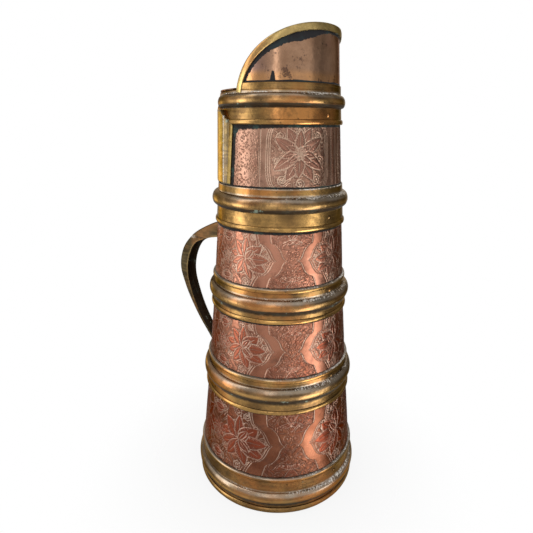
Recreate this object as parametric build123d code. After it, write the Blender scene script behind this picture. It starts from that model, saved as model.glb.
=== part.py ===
"""A tall copper ewer, brass-hooped, with a raised pouring lip and a lid hinged at its back.

Four conical drums of sheet copper stand on one another. Each joint is covered by a brass
hoop, and each hoop carries a half-round moulding. Over the top hoop the copper rises into
a lip, bound by a folded brass edge. At the back the neck is wrapped in a brass jacket,
which carries the hinge of a domed lid. The strap handle is a brass channel, open inwards.

Millimetres. The origin is the middle of the foot, where it rests. +Z is up, +X is the
pouring side, under the highest point of the lip, and -X is the handle's side.
"""
import os
from math import cos, hypot, pi, radians, sin

from build123d import *

# Copper wall: outer radius of the copper at its foot, at the joints of the drums and at its top
COPPER = 1.2
FOOT_Z, FOOT_R = 0.0, 85.0
HEM_Z, HEM_R = 38.0, 83.3
JOINT_4_Z, JOINT_4_R = 130.0, 74.3
JOINT_3_Z, JOINT_3_R = 218.5, 66.5
JOINT_2_Z, JOINT_2_R = 310.0, 60.1
JOINT_1_Z, JOINT_1_R = 396.3, 53.9
MOUTH_ABOVE = 8.1
MOUTH_Z = JOINT_1_Z + MOUTH_ABOVE
LIP_DROP = 2.0
LIP_END_Z = MOUTH_Z - LIP_DROP
LIP_RISE = 53.4
CROWN_SPARE = 2.2
CROWN_Z, CROWN_R = LIP_END_Z + LIP_RISE + CROWN_SPARE, 50.1
WALL = [(FOOT_Z, FOOT_R), (HEM_Z, HEM_R), (JOINT_4_Z, JOINT_4_R), (JOINT_3_Z, JOINT_3_R),
        (JOINT_2_Z, JOINT_2_R), (JOINT_1_Z, JOINT_1_R), (CROWN_Z, CROWN_R)]
SOLDER = 0.05
SPACE = 2 * FOOT_R
ARC_STEPS = 24

# Base
BASE_SHEET = 1.2
BASE_TURN_UP = 7.0

# Hoops: sheet sleeves with a raised bead at the lower edge, and on the lower ones at the upper edge too
HOOP_SHEET = 1.0
BEAD_PROUD = 1.3
BEAD_ROOT = 0.5
HOOP_1_BELOW, HOOP_1_ABOVE = 19.6, 13.5
HOOP_2_BELOW, HOOP_2_ABOVE = 23.2, 14.0
HOOP_3_BELOW, HOOP_3_ABOVE = 17.0, 16.6
HOOP_4_BELOW, HOOP_4_ABOVE = 19.9, 16.8
HOOP_5_ABOVE = 2.3
HOOP_1_BOTTOM, HOOP_1_TOP = JOINT_1_Z - HOOP_1_BELOW, JOINT_1_Z + HOOP_1_ABOVE
HOOP_2_BOTTOM, HOOP_2_TOP = JOINT_2_Z - HOOP_2_BELOW, JOINT_2_Z + HOOP_2_ABOVE
HOOP_3_BOTTOM, HOOP_3_TOP = JOINT_3_Z - HOOP_3_BELOW, JOINT_3_Z + HOOP_3_ABOVE
HOOP_4_BOTTOM, HOOP_4_TOP = JOINT_4_Z - HOOP_4_BELOW, JOINT_4_Z + HOOP_4_ABOVE
HOOP_5_BOTTOM, HOOP_5_TOP = FOOT_Z, HEM_Z + HOOP_5_ABOVE
BEAD_HEIGHT = 4.4
FOOT_BEAD_HEIGHT = 6.0
FOOT_BEAD_PROUD = 2.0

# Half-round mouldings: centre height, height and how far each stands out from its hoop
MOULDING_1_HEIGHT, MOULDING_1_PROUD = 11.0, 3.9
MOULDING_2_HEIGHT, MOULDING_2_PROUD = 13.5, 5.1
MOULDING_3_HEIGHT, MOULDING_3_PROUD = 13.0, 4.6
MOULDING_4_HEIGHT, MOULDING_4_PROUD = 14.0, 4.3
MOULDING_5_HEIGHT, MOULDING_5_PROUD = 12.8, 3.6
MOULDING_5_Z = FOOT_Z + 16.8
MOULDINGS = [(JOINT_1_Z, MOULDING_1_HEIGHT, MOULDING_1_PROUD),
             (JOINT_2_Z, MOULDING_2_HEIGHT, MOULDING_2_PROUD),
             (JOINT_3_Z, MOULDING_3_HEIGHT, MOULDING_3_PROUD),
             (JOINT_4_Z, MOULDING_4_HEIGHT, MOULDING_4_PROUD),
             (MOULDING_5_Z, MOULDING_5_HEIGHT, MOULDING_5_PROUD)]

# Hoop rivets: one through each hoop's lapped seam, low on the pouring side
RIVET_R = 2.0
RIVET_DOME = 0.8
SHANK_SHARE = 0.55
RIVET_LIFT = 0.2
RIVET_ANGLE = -8.5
RIVET_HEIGHTS = [JOINT_1_Z - 11.8, JOINT_2_Z - 13.0, JOINT_3_Z + 9.5, JOINT_4_Z + 9.7, MOULDING_5_Z + 13.7]

# Lip: copper wall above the mouth, cut to a curve that is highest over +X
LIP_HALF_ANGLE = 99.8
LIP_FLATNESS, LIP_SHOULDER = 2.5, 1.75
LIP_ANGLES = [LIP_HALF_ANGLE, 98, 95, 90, 82, 72, 60, 45, 30, 15, 0]
EDGE_WIDTH = 5.8
EDGE_PROUD = 1.8
EDGE_INSIDE = 0.8
EDGE_OVER = 1.0

# Jacket round the back of the neck: folded box of sheet brass with flanges soldered to the copper
JACKET_SHEET = 1.0
JACKET_BOTTOM = HOOP_2_TOP + 1.0
JACKET_SHOULDER_Z = MOUTH_Z - 15.4
JACKET_BOTTOM_STAND = 2.2
JACKET_SHOULDER_STAND = 5.2
JACKET_TOP_STAND = 3.0
JACKET_HALF_ANGLE = 71.0
FLANGE_HALF_ANGLE = 76.5
COLLAR_HALF_ANGLE = 40.0
NOTCH_LOW_Z, NOTCH_HIGH_Z = JACKET_SHOULDER_Z - 13.0, JACKET_SHOULDER_Z
NOTCH_HIGH_HALF_ANGLE = 59.5
FIT_GAP = 0.3
PRISM_REACH = 15.0
SLANT_OVERLAP = 3.0

# Lid: spun copper disc, wide where it lies on the low back wall and narrow inside the lip
LID_SHEET = 1.5
LID_GAP = 0.3
LID_OVERLAP = 0.2
LID_RIM = 7.6
LID_CLEARANCE = 1.8
LID_STEP_X = -11.5
LID_DOME_RISE = 6.5
DOME_MID_R, DOME_MID_RISE = 0.52, 0.73
REST_WIDTH = 6.7
REST_THICK = 2.0
REST_HALF_ANGLE = 94.0

# Knob, turned brass on a shank that is peened under the lid
KNOB_R = 7.0
KNOB_NECK_R = 3.4
KNOB_WAIST_R = 6.0
KNOB_FOOT_R = 7.5
KNOB_FOOT = 1.6
KNOB_HEIGHT = 21.0
SHANK_R = 2.5
PEEN_R = 4.5
PEEN_THICK = 1.2
PEEN_GAP = 0.2

# Hinge: barrel along Y behind the mouth
BARREL_Z = MOUTH_Z + 1.5
BARREL_R = 2.6
PIN_R = 1.25
PIN_CLEARANCE = 0.05
PIN_HEAD_R = 1.9
PIN_HEAD = 1.0
HINGE_HALF_WIDTH = 12.0
KNUCKLE_HALF_WIDTH = 4.0
KNUCKLE_GAP = 0.2
BRACKET_SHEET = 1.3
BRACKET_BOTTOM = JACKET_BOTTOM + 17.0
BRACKET_RIVET_R = 2.2
BRACKET_RIVET_HEIGHTS = [BRACKET_BOTTOM + 8.0, JACKET_SHOULDER_Z - 10.0]
BRACKET_RIVET_ANGLE = 6.0
LEAF_SHEET = 1.2
LEAF_NECK = 3.0
LEAF_HALF_WIDTH = 14.0
LEAF_RIVET_R = 1.5
LEAF_RIVET_Y = 9.0

# Handle: channel of sheet brass in the plane y = 0, given by its outer line and its lip line
HANDLE_WIDTH = 14.6
HANDLE_SHEET = 1.2
HANDLE_ROUNDING = 1.6
HANDLE_SEAM_Z = 251.7
HANDLE_OUTER = [(60.0, 281.0), (92.3, 269.0), (120.5, 252.5), (137.0, 233.5), (142.3, 212.0),
                (136.1, 189.6), (118.1, 157.1), (96.5, 128.6), (81.5, 106.0), (74.0, 92.0)]
HANDLE_LIP = [(60.0, 259.0), (80.0, 256.5), (98.7, 251.7), (115.8, 243.5), (126.0, 228.0),
              (130.2, 208.0), (124.2, 180.0), (105.0, 145.0), (93.6, 130.6), (79.5, 109.5), (72.0, 95.5)]


def copper_radius(z):
    """Outer radius of the copper at a height, straight between the joints."""
    for (low_z, low_r), (high_z, high_r) in zip(WALL, WALL[1:]):
        if z <= high_z:
            return low_r + (high_r - low_r) * (z - low_z) / (high_z - low_z)
    return CROWN_R


def wall_line(bottom, top, offset):
    """Points along the copper's outer line, moved outwards by an offset."""
    heights = [bottom] + [z for z, _ in WALL if bottom < z < top] + [top]
    return [(copper_radius(z) + offset, z) for z in heights]


def turned(outline):
    """Solid of revolution about Z from a closed outline of (radius, height) points."""
    return revolve(Plane.XZ * make_face(Polyline(*outline, close=True)), Axis.Z)


def sleeve(bottom, top, inner, outer):
    """Ring of sheet between two offsets from the copper's outer line."""
    return turned(wall_line(bottom, top, outer) + wall_line(bottom, top, inner)[::-1])


def half_round(centre, height, foot, proud):
    """Ring of half-round section whose flat back stands at an offset from the copper."""
    low, high = centre - height / 2, centre + height / 2
    back = Polyline(*wall_line(low, high, foot)[::-1])
    front = ThreePointArc((copper_radius(low) + foot, low),
                          (copper_radius(centre) + foot + proud, centre),
                          (copper_radius(high) + foot, high))
    return revolve(Plane.XZ * make_face(back + front), Axis.Z)


def sector(half_angle, towards=0.0):
    """Tall wedge of space about Z that is half_angle wide each side of a direction."""
    turns = [radians(towards + half_angle * (2 * i / ARC_STEPS - 1)) for i in range(ARC_STEPS + 1)]
    arc = [(SPACE * cos(turn), SPACE * sin(turn)) for turn in turns]
    outline = Polyline((0, 0), *arc, close=True)
    return extrude(make_face(outline), amount=2 * CROWN_Z)


def at_wall(radius, angle, z):
    """Frame on a wall of this radius, with its own z pointing outwards."""
    spot = Vector(radius * cos(radians(angle)), radius * sin(radians(angle)), z)
    return Plane(origin=spot, x_dir=(-sin(radians(angle)), cos(radians(angle)), 0),
                 z_dir=(cos(radians(angle)), sin(radians(angle)), 0))


def domed_rivet(place, radius, dome, shank):
    """Rivet standing on a wall frame: a shank into the wall and a low domed head."""
    ball = (radius ** 2 + dome ** 2) / (2 * dome)
    head = Pos(0, 0, dome - ball) * Sphere(ball) & Pos(0, 0, dome) * Box(4 * radius, 4 * radius, 2 * dome)
    return place * (head + Pos(0, 0, -shank / 2) * Cylinder(radius * SHANK_SHARE, shank))


def rivet_hole(place, radius, depth):
    """Clearance hole for a rivet's shank, through everything within a depth either way."""
    return place * Cylinder(radius * SHANK_SHARE + SOLDER, 2 * depth)


def lip_point(angle):
    """Side view of the lip's curve at an angle from +X: the x of the wall there and its height."""
    share = abs(angle) / LIP_HALF_ANGLE
    height = LIP_END_Z + LIP_RISE * (1 - share ** LIP_FLATNESS) ** (1 / LIP_SHOULDER)
    return (copper_radius(height) * cos(radians(angle)), height)


def moved_in(points, distance):
    """Open line moved to its right-hand side, each point along the normal of its neighbours."""
    moved = []
    for i, (x, y) in enumerate(points):
        before, after = points[max(i - 1, 0)], points[min(i + 1, len(points) - 1)]
        dx, dy = after[0] - before[0], after[1] - before[1]
        length = hypot(dx, dy)
        moved.append((x + dy / length * distance, y - dx / length * distance))
    return moved


def jacket_corners():
    """Outer radii of the jacket at its bottom, at its shoulder and at its top."""
    return (copper_radius(JACKET_BOTTOM) + JACKET_BOTTOM_STAND,
            copper_radius(JACKET_SHOULDER_Z) + JACKET_SHOULDER_STAND,
            copper_radius(MOUTH_Z) + JACKET_TOP_STAND)


def jacket_radius(z):
    """Outer radius of the jacket: nearly upright below its shoulder, then drawn in to the mouth."""
    bottom_r, shoulder_r, top_r = jacket_corners()
    if z <= JACKET_SHOULDER_Z:
        share = (z - JACKET_BOTTOM) / (JACKET_SHOULDER_Z - JACKET_BOTTOM)
        return bottom_r + (shoulder_r - bottom_r) * share
    share = (z - JACKET_SHOULDER_Z) / (MOUTH_Z - JACKET_SHOULDER_Z)
    return shoulder_r + (top_r - shoulder_r) * share


def lip_curves():
    """Side view of the lip, from its low end up to +X, and the same line moved in by the edge's width."""
    outer = [lip_point(angle) for angle in LIP_ANGLES]
    return outer, moved_in(outer, EDGE_WIDTH)


def side_region(line, far):
    """All that lies between a side-view line and some far points, as a slab right across the ewer."""
    outline = Spline(*line) + Polyline(line[-1], *far, line[0])
    return extrude(Plane.XZ * make_face(outline), amount=SPACE, both=True)


def above_lip(line):
    """Space above a lip line and behind its low end."""
    (low_x, low_z), (high_x, high_z) = line[0], line[-1]
    top = high_z + SPACE
    return side_region(line, [(high_x + SPACE, high_z), (high_x + SPACE, top), (low_x - SPACE, top),
                              (low_x - SPACE, JOINT_1_Z), (low_x, JOINT_1_Z)])


def below_lip(line):
    """Space below a lip line, in front of its low end."""
    (low_x, low_z), (high_x, high_z) = line[0], line[-1]
    bottom = low_z - SPACE
    return side_region(line, [(high_x + SPACE, high_z), (high_x + SPACE, bottom), (low_x, bottom)])


def side_prism(points):
    """Two prisms, one through each side of the neck, with an outline of (angle, height) on the wall."""
    angles, heights = zip(*points)
    middle = (min(angles) + max(angles)) / 2
    level = (min(heights) + max(heights)) / 2
    radius = copper_radius(level)
    prisms = []
    for side in (1, -1):
        outline = [(side * radians(a - middle) * radius, z - level) for a, z in points]
        face = make_face(Polyline(*outline, close=True))
        prisms.append(at_wall(radius, side * middle, level) * extrude(face, amount=PRISM_REACH, both=True))
    return prisms


def slab(bottom, top):
    """Flat slab of space between two heights."""
    return Pos(0, 0, (bottom + top) / 2) * Box(2 * SPACE, 2 * SPACE, top - bottom)


def build_body():
    """Base plate with a turned-up rim, and the four copper drums, butted at their joints."""
    fit = -COPPER - SOLDER
    rim = wall_line(FOOT_Z, BASE_TURN_UP, fit)
    inside = wall_line(BASE_SHEET, BASE_TURN_UP, fit - BASE_SHEET)[::-1]
    parts = {"base_plate": turned([(0, FOOT_Z)] + rim + inside + [(0, BASE_SHEET)])}
    joints = [JOINT_1_Z, JOINT_2_Z, JOINT_3_Z, JOINT_4_Z, FOOT_Z]
    for number, (top, bottom) in enumerate(zip(joints, joints[1:]), start=1):
        parts[f"drum_{number}"] = sleeve(bottom, top, -COPPER, 0.0)
    return parts


def hoop(bottom, top, beads):
    """Brass sleeve on the copper with half-round beads, each given as (centre, height, proud)."""
    outside = SOLDER + HOOP_SHEET
    ring = sleeve(bottom, top, SOLDER, outside)
    for centre, height, proud in beads:
        ring += half_round(centre, height, outside - BEAD_ROOT, proud + BEAD_ROOT)
    return ring


def build_hoops():
    """Five hoops with their mouldings, the top one cut away where the jacket wraps the back."""
    def low(z):
        return (z + BEAD_HEIGHT / 2, BEAD_HEIGHT, BEAD_PROUD)

    def high(z):
        return (z - BEAD_HEIGHT / 2, BEAD_HEIGHT, BEAD_PROUD)

    top_hoop = hoop(HOOP_1_BOTTOM, HOOP_1_TOP, [low(HOOP_1_BOTTOM)])
    slant_low, slant_high = 180 - FLANGE_HALF_ANGLE, 180 - NOTCH_HIGH_HALF_ANGLE
    top_hoop -= side_prism([(slant_low, HOOP_1_BOTTOM - HOOP_SHEET), (slant_low, NOTCH_LOW_Z + FIT_GAP),
                            (slant_high, NOTCH_HIGH_Z), (slant_high + SLANT_OVERLAP, NOTCH_HIGH_Z),
                            (slant_high + SLANT_OVERLAP, HOOP_1_BOTTOM - HOOP_SHEET)])
    top_hoop -= sector(NOTCH_HIGH_HALF_ANGLE, 180) & slab(JACKET_BOTTOM, NOTCH_HIGH_Z + FIT_GAP)
    top_hoop -= sector(COLLAR_HALF_ANGLE + FIT_GAP, 180)
    top_hoop -= sector(180 - REST_HALF_ANGLE, 180) & slab(MOUTH_Z, CROWN_Z)
    foot_bead = (FOOT_BEAD_HEIGHT / 2, FOOT_BEAD_HEIGHT, FOOT_BEAD_PROUD)
    parts = {"hoop_1": top_hoop,
             "hoop_2": hoop(HOOP_2_BOTTOM, HOOP_2_TOP, [low(HOOP_2_BOTTOM)]),
             "hoop_3": hoop(HOOP_3_BOTTOM, HOOP_3_TOP, [low(HOOP_3_BOTTOM), high(HOOP_3_TOP)]),
             "hoop_4": hoop(HOOP_4_BOTTOM, HOOP_4_TOP, [low(HOOP_4_BOTTOM), high(HOOP_4_TOP)]),
             "hoop_5": hoop(HOOP_5_BOTTOM, HOOP_5_TOP, [foot_bead, high(HOOP_5_TOP)])}
    for number, (centre, height, proud) in enumerate(MOULDINGS, start=1):
        parts[f"moulding_{number}"] = half_round(centre, height, HOOP_SHEET + 2 * SOLDER, proud)
    parts["moulding_1"] -= sector(COLLAR_HALF_ANGLE + FIT_GAP, 180)
    return parts


def hoop_rivet_places():
    """Frames on the outside of the five hoops, on their lapped seams."""
    return [at_wall(copper_radius(z) + HOOP_SHEET + RIVET_LIFT, RIVET_ANGLE, z) for z in RIVET_HEIGHTS]


def jacket_outline(sheet):
    """Closed outline of the jacket's section, drawn in by a sheet's thickness on all its free sides."""
    bottom, top = JACKET_BOTTOM + sheet, MOUTH_Z - sheet
    inner = wall_line(bottom, top, SOLDER if sheet == 0 else -COPPER)
    bottom_r, shoulder_r, top_r = jacket_corners()
    return inner + [(top_r - sheet, top), (shoulder_r - sheet, JACKET_SHOULDER_Z), (bottom_r - sheet, bottom)]


def build_jacket():
    """Folded brass box round the back of the neck, hollow against the copper, with side flanges."""
    narrower = JACKET_SHEET / jacket_radius(MOUTH_Z) * 180 / pi
    slant_low, slant_high = 180 - JACKET_HALF_ANGLE, 180 - NOTCH_HIGH_HALF_ANGLE
    front = slant_low - (slant_high - slant_low)

    def shape(sheet, turn):
        solid = turned(jacket_outline(sheet))
        wide = solid & sector(JACKET_HALF_ANGLE - turn, 180) & slab(JACKET_BOTTOM, NOTCH_HIGH_Z - sheet)
        over = NOTCH_HIGH_Z + SLANT_OVERLAP
        wide -= side_prism([(front, NOTCH_LOW_Z - sheet), (slant_low + turn, NOTCH_LOW_Z - sheet),
                            (slant_high + turn, NOTCH_HIGH_Z), (slant_high + turn, over), (front, over)])
        return wide + (solid & sector(COLLAR_HALF_ANGLE - turn, 180))

    flange = sleeve(JACKET_BOTTOM, NOTCH_LOW_Z, SOLDER, SOLDER + JACKET_SHEET)
    flange = flange & sector(FLANGE_HALF_ANGLE, 180)
    flange -= sector(JACKET_HALF_ANGLE - narrower / 2, 180)
    return shape(0.0, 0.0) - shape(JACKET_SHEET, narrower) + flange


def build_lip():
    """Hood of copper over the top joint, its folded brass edge and the ledge for the lid."""
    outer, inner = lip_curves()
    wall = sleeve(JOINT_1_Z, CROWN_Z, -COPPER, 0.0)
    hood = wall - above_lip(moved_in(outer, EDGE_OVER)) + sleeve(JOINT_1_Z, MOUTH_Z, -COPPER, 0.0)
    moulding_z, moulding_height, _ = MOULDINGS[0]
    fold = sleeve(moulding_z + moulding_height / 2 + SOLDER, CROWN_Z, -COPPER - EDGE_INSIDE, EDGE_PROUD)
    edge = fold - above_lip(outer) - below_lip(inner) - hood
    ledge_r = copper_radius(MOUTH_Z) - COPPER - SOLDER
    inner_r = ledge_r - REST_WIDTH
    ledge = turned([(inner_r, MOUTH_Z - REST_THICK), (ledge_r, MOUTH_Z - REST_THICK),
                    (ledge_r, MOUTH_Z), (inner_r, MOUTH_Z)]) & sector(REST_HALF_ANGLE)
    return {"hood": hood, "hood_edge": edge, "lid_rest": ledge - edge}


def lid_radii():
    """Radii of the lid: its back half over the wall, its front half inside the lip, and its dome."""
    front = copper_radius(MOUTH_Z) - COPPER - EDGE_INSIDE - LID_CLEARANCE
    return jacket_radius(MOUTH_Z) - LID_OVERLAP, front, front - LID_RIM


def build_lid():
    """Domed copper lid, wide over the low back wall and narrow inside the lip."""
    back_r, front_r, dome_r = lid_radii()
    under = MOUTH_Z + LID_GAP
    top = under + LID_SHEET
    crown = top + LID_DOME_RISE
    inside_r = dome_r - LID_SHEET
    mid_rise = LID_DOME_RISE * DOME_MID_RISE
    upper = ThreePointArc((dome_r, top), (dome_r * DOME_MID_R, top + mid_rise), (0, crown))
    middle = (inside_r * DOME_MID_R, under + mid_rise)
    lower = ThreePointArc((0, crown - LID_SHEET), middle, (inside_r, under))
    rim = Polyline((inside_r, under), (back_r, under), (back_r, top), (dome_r, top))
    pole = Line((0, crown), (0, crown - LID_SHEET))
    plate = revolve(Plane.XZ * make_face(rim + upper + pole + lower), Axis.Z)
    reach = 2 * back_r
    front = Pos(LID_STEP_X + reach / 2, 0, top) * Box(reach, reach, reach)
    plate -= front - Pos(0, 0, top) * Cylinder(front_r, reach)
    plate -= Pos(0, 0, crown) * Cylinder(SHANK_R + PIN_CLEARANCE, 4 * LID_SHEET)
    return plate, crown


def build_knob(crown):
    """Turned knob: foot, waist and ball, with its shank peened under the lid."""
    seat = crown + SOLDER
    head = crown - LID_SHEET - PEEN_GAP
    shank = Pos(0, 0, (seat + head) / 2) * Cylinder(SHANK_R, seat - head + KNOB_FOOT)
    peen = Pos(0, 0, head - PEEN_THICK / 2) * Cylinder(PEEN_R, PEEN_THICK)
    foot = Pos(0, 0, seat + KNOB_FOOT / 2) * Cylinder(KNOB_FOOT_R, KNOB_FOOT)
    waist_top = seat + KNOB_HEIGHT - KNOB_R
    waist = Pos(0, 0, (seat + waist_top) / 2) * Cone(KNOB_WAIST_R, KNOB_NECK_R, waist_top - seat)
    ball = Pos(0, 0, waist_top) * Sphere(KNOB_R)
    return shank + peen + foot + waist + ball


def along_y(radius, low, high, x, z):
    """Cylinder along Y between two y values."""
    return Pos(x, (low + high) / 2, z) * Rot(90, 0, 0) * Cylinder(radius, high - low)


def build_hinge():
    """Fixed bracket on the jacket's back, leaf on the lid, pin and the rivets of both."""
    wall_r = jacket_radius(JACKET_SHOULDER_Z) + SOLDER
    axis_x = -(wall_r + BRACKET_SHEET + FIT_GAP)
    half = HINGE_HALF_WIDTH
    knuckle = KNUCKLE_HALF_WIDTH
    half_angle = half / wall_r * 180 / pi
    bore = along_y(PIN_R + PIN_CLEARANCE, -2 * half, 2 * half, axis_x, BARREL_Z)
    foot_r = jacket_radius(BRACKET_BOTTOM) + SOLDER
    plate = turned([(foot_r, BRACKET_BOTTOM), (wall_r, JACKET_SHOULDER_Z), (wall_r, BARREL_Z),
                    (wall_r + BRACKET_SHEET, BARREL_Z), (wall_r + BRACKET_SHEET, JACKET_SHOULDER_Z),
                    (foot_r + BRACKET_SHEET, BRACKET_BOTTOM)]) & sector(half_angle, 180)
    gap = knuckle + KNUCKLE_GAP
    plate -= Pos(axis_x, 0, BARREL_Z) * Box(8 * BARREL_R, 2 * gap, 2 * (BARREL_R + LID_GAP))
    bracket = plate + along_y(BARREL_R, -half, -gap, axis_x, BARREL_Z)
    bracket += along_y(BARREL_R, gap, half, axis_x, BARREL_Z)
    bracket -= bore
    seat = MOUTH_Z + LID_GAP + LID_SHEET + SOLDER
    back_r, _, dome_r = lid_radii()
    back_x, front_x = -back_r + LEAF_NECK, -dome_r - FIT_GAP
    middle = seat + LEAF_SHEET / 2
    tongue = Pos((axis_x + front_x) / 2, 0, middle) * Box(front_x - axis_x, 2 * knuckle, LEAF_SHEET)
    broad = Pos((back_x + front_x) / 2, 0, middle) * Box(front_x - back_x, 2 * LEAF_HALF_WIDTH, LEAF_SHEET)
    broad = fillet(broad.edges().filter_by(Axis.Z), LEAF_NECK)
    barrel = along_y(BARREL_R, -knuckle, knuckle, axis_x, BARREL_Z)
    leaf = tongue + broad + barrel - bore
    head_y = half + PIN_HEAD / 2 + FIT_GAP
    pin = along_y(PIN_R, -head_y, head_y, axis_x, BARREL_Z)
    pin += along_y(PIN_HEAD_R, head_y - PIN_HEAD / 2, head_y + PIN_HEAD / 2, axis_x, BARREL_Z)
    pin += along_y(PIN_HEAD_R, -head_y - PIN_HEAD / 2, -head_y + PIN_HEAD / 2, axis_x, BARREL_Z)
    return bracket, leaf, pin


def channel_outline(line, lip):
    """Closed side view between the handle's outer line and a lip line, both from the top root down."""
    face_line, lip_line = Spline(*line), Spline(*lip[::-1])
    return make_face(face_line + Line(line[-1], lip[-1]) + lip_line + Line(lip[0], line[0]))


def build_handle():
    """Strap handle: a channel open towards the body, an arm above and a grip below its seam."""
    outer = [(-r, z) for r, z in HANDLE_OUTER]
    lip = [(-r, z) for r, z in HANDLE_LIP]
    block = extrude(Plane.XZ * channel_outline(outer, lip), amount=HANDLE_WIDTH / 2, both=True)
    back_corners = block.edges().sort_by(SortBy.LENGTH)[-2:]
    block = fillet(back_corners, HANDLE_ROUNDING)
    inside = channel_outline(moved_in(outer, -HANDLE_SHEET), moved_in(lip, -HANDLE_SHEET))
    channel = block - extrude(Plane.XZ * inside, amount=HANDLE_WIDTH / 2 - HANDLE_SHEET, both=True)
    channel -= turned([(0, FOOT_Z)] + wall_line(FOOT_Z, CROWN_Z, SOLDER) + [(0, CROWN_Z)])
    seam = HANDLE_SEAM_Z
    return {"handle_arm": channel & slab(seam, CROWN_Z), "handle_grip": channel & slab(FOOT_Z, seam - SOLDER)}


def bracket_rivet_places():
    """Frames on the outside of the hinge bracket for its four rivets."""
    places = []
    for z in BRACKET_RIVET_HEIGHTS:
        radius = jacket_radius(z) + BRACKET_SHEET + 2 * SOLDER
        places += [at_wall(radius, 180 + side * BRACKET_RIVET_ANGLE, z) for side in (1, -1)]
    return places


def leaf_rivet_places():
    """Frames on top of the lid's leaf for its two rivets."""
    back_r, _, dome_r = lid_radii()
    x = (LEAF_NECK - back_r - dome_r) / 2
    top = MOUTH_Z + LID_GAP + LID_SHEET + LEAF_SHEET + 2 * SOLDER
    return [Plane(origin=(x, side * LEAF_RIVET_Y, top), z_dir=(0, 0, 1)) for side in (1, -1)]


def add_rivets(parts, name, places, radius, grip, through):
    """Drill the named pieces at each place and add the rivets there as one group."""
    for place in places:
        for piece in through:
            parts[piece] -= rivet_hole(place, radius, grip + RIVET_DOME)
    parts[name] = Compound(children=[domed_rivet(place, radius, RIVET_DOME, grip) for place in places])


def main():
    """Make every piece and write one file for each."""
    os.makedirs("parts", exist_ok=True)
    parts = build_body()
    parts.update(build_hoops())
    parts.update(build_lip())
    parts["hood_edge"] -= parts["hoop_1"]
    parts["neck_jacket"] = build_jacket()
    parts["lid_plate"], crown = build_lid()
    parts["lid_knob"] = build_knob(crown)
    parts["hinge_bracket"], parts["lid_leaf"], parts["hinge_pin"] = build_hinge()
    parts.update(build_handle())
    drilled = [f"hoop_{n}" for n in range(1, 6)] + [f"drum_{n}" for n in range(1, 5)]
    add_rivets(parts, "hoop_rivets", hoop_rivet_places(), RIVET_R, HOOP_SHEET + COPPER + SOLDER, drilled)
    add_rivets(parts, "bracket_rivets", bracket_rivet_places(), BRACKET_RIVET_R, BRACKET_SHEET + JACKET_SHEET,
               ["hinge_bracket", "neck_jacket"])
    add_rivets(parts, "leaf_rivets", leaf_rivet_places(), LEAF_RIVET_R, LEAF_SHEET + LID_SHEET,
               ["lid_leaf", "lid_plate"])
    for name, solid in parts.items():
        export_step(solid, f"parts/{name}.step")


main()
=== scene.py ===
# %% [markdown]
# # A copper ewer bound with brass
#
# This lesson dresses a finished metal model of an old ewer. The model, the frame, gives every
# size and every moving part. The lesson adds what the frame leaves out: the chased flowers, the
# patina in the corners, the grey solder and the wear of a long life.
# Lengths are written in millimetres, as a coppersmith would say them, and become metres only
# when a mesh is made. Z is up, X points to the pouring lip and -X to the handle.

# %% Load the frame
import math

import bmesh
import bpy
import numpy as np
from mathutils import Matrix, Vector


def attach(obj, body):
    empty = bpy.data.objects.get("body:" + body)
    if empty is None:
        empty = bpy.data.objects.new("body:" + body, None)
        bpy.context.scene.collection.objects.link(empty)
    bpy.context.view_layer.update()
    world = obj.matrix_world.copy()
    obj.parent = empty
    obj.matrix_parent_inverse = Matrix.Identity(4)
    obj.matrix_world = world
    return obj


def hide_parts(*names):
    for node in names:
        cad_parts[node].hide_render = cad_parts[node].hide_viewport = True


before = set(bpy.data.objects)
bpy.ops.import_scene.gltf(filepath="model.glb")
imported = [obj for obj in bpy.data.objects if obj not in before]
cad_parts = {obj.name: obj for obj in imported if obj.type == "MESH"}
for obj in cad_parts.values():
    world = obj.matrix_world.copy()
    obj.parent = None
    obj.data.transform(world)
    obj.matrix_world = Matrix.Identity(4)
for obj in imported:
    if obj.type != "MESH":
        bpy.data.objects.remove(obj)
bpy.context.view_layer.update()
MM = 0.001

# %% [markdown]
# ## The camera
#
# A photograph fixes the camera as soon as the roundness of a few hoops is known: how open each
# ellipse looks gives the height of the eye, and how fast they shrink gives the distance. The
# result is written as a place, three small angles and a focal length, and the camera's own
# axes are built from them, which is exact and needs no aiming helper.

# %% Set the camera
EYE = Vector((252.4, -360.4, 376.6)) * MM
HEADING, PITCH, ROLL = math.radians(36.67), math.radians(17.76), math.radians(0.41)
LENS, SENSOR = 29.91, 36.0

level = Vector((math.cos(HEADING), math.sin(HEADING), 0))
ahead = Vector((-math.sin(HEADING), math.cos(HEADING), 0))
up = Vector((0, 0, 1))
forward = ahead * math.cos(PITCH) - up * math.sin(PITCH)
lifted = ahead * math.sin(PITCH) + up * math.cos(PITCH)
right = level * math.cos(ROLL) + lifted * math.sin(ROLL)
above = lifted * math.cos(ROLL) - level * math.sin(ROLL)

camera_data = bpy.data.cameras.new("camera")
camera_data.sensor_width = SENSOR
camera_data.lens = LENS
camera_data.clip_start = 10 * MM
camera = bpy.data.objects.new("camera", camera_data)
bpy.context.collection.objects.link(camera)
camera.matrix_world = Matrix.Translation(EYE) @ Matrix((right, above, -forward)).transposed().to_4x4()
bpy.context.scene.camera = camera
print("camera at", [round(v, 3) for v in EYE], "lens", LENS)

# %% [markdown]
# ## From numbers to a mesh
#
# Every piece of this ewer is sheet metal that was turned, hammered or folded, so each one is a
# grid: rows one way, columns the other. One helper turns such a grid of points into quads. It
# can close the grid on itself either way, and it merges points that fall together, so that a
# pole becomes a real pole. Extra numbers per point, called marks, travel with the mesh as
# attributes: the finishes read them to know where a line is cut or where grime sits.

# %% Mesh helpers
WELD = 0.002


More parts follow.
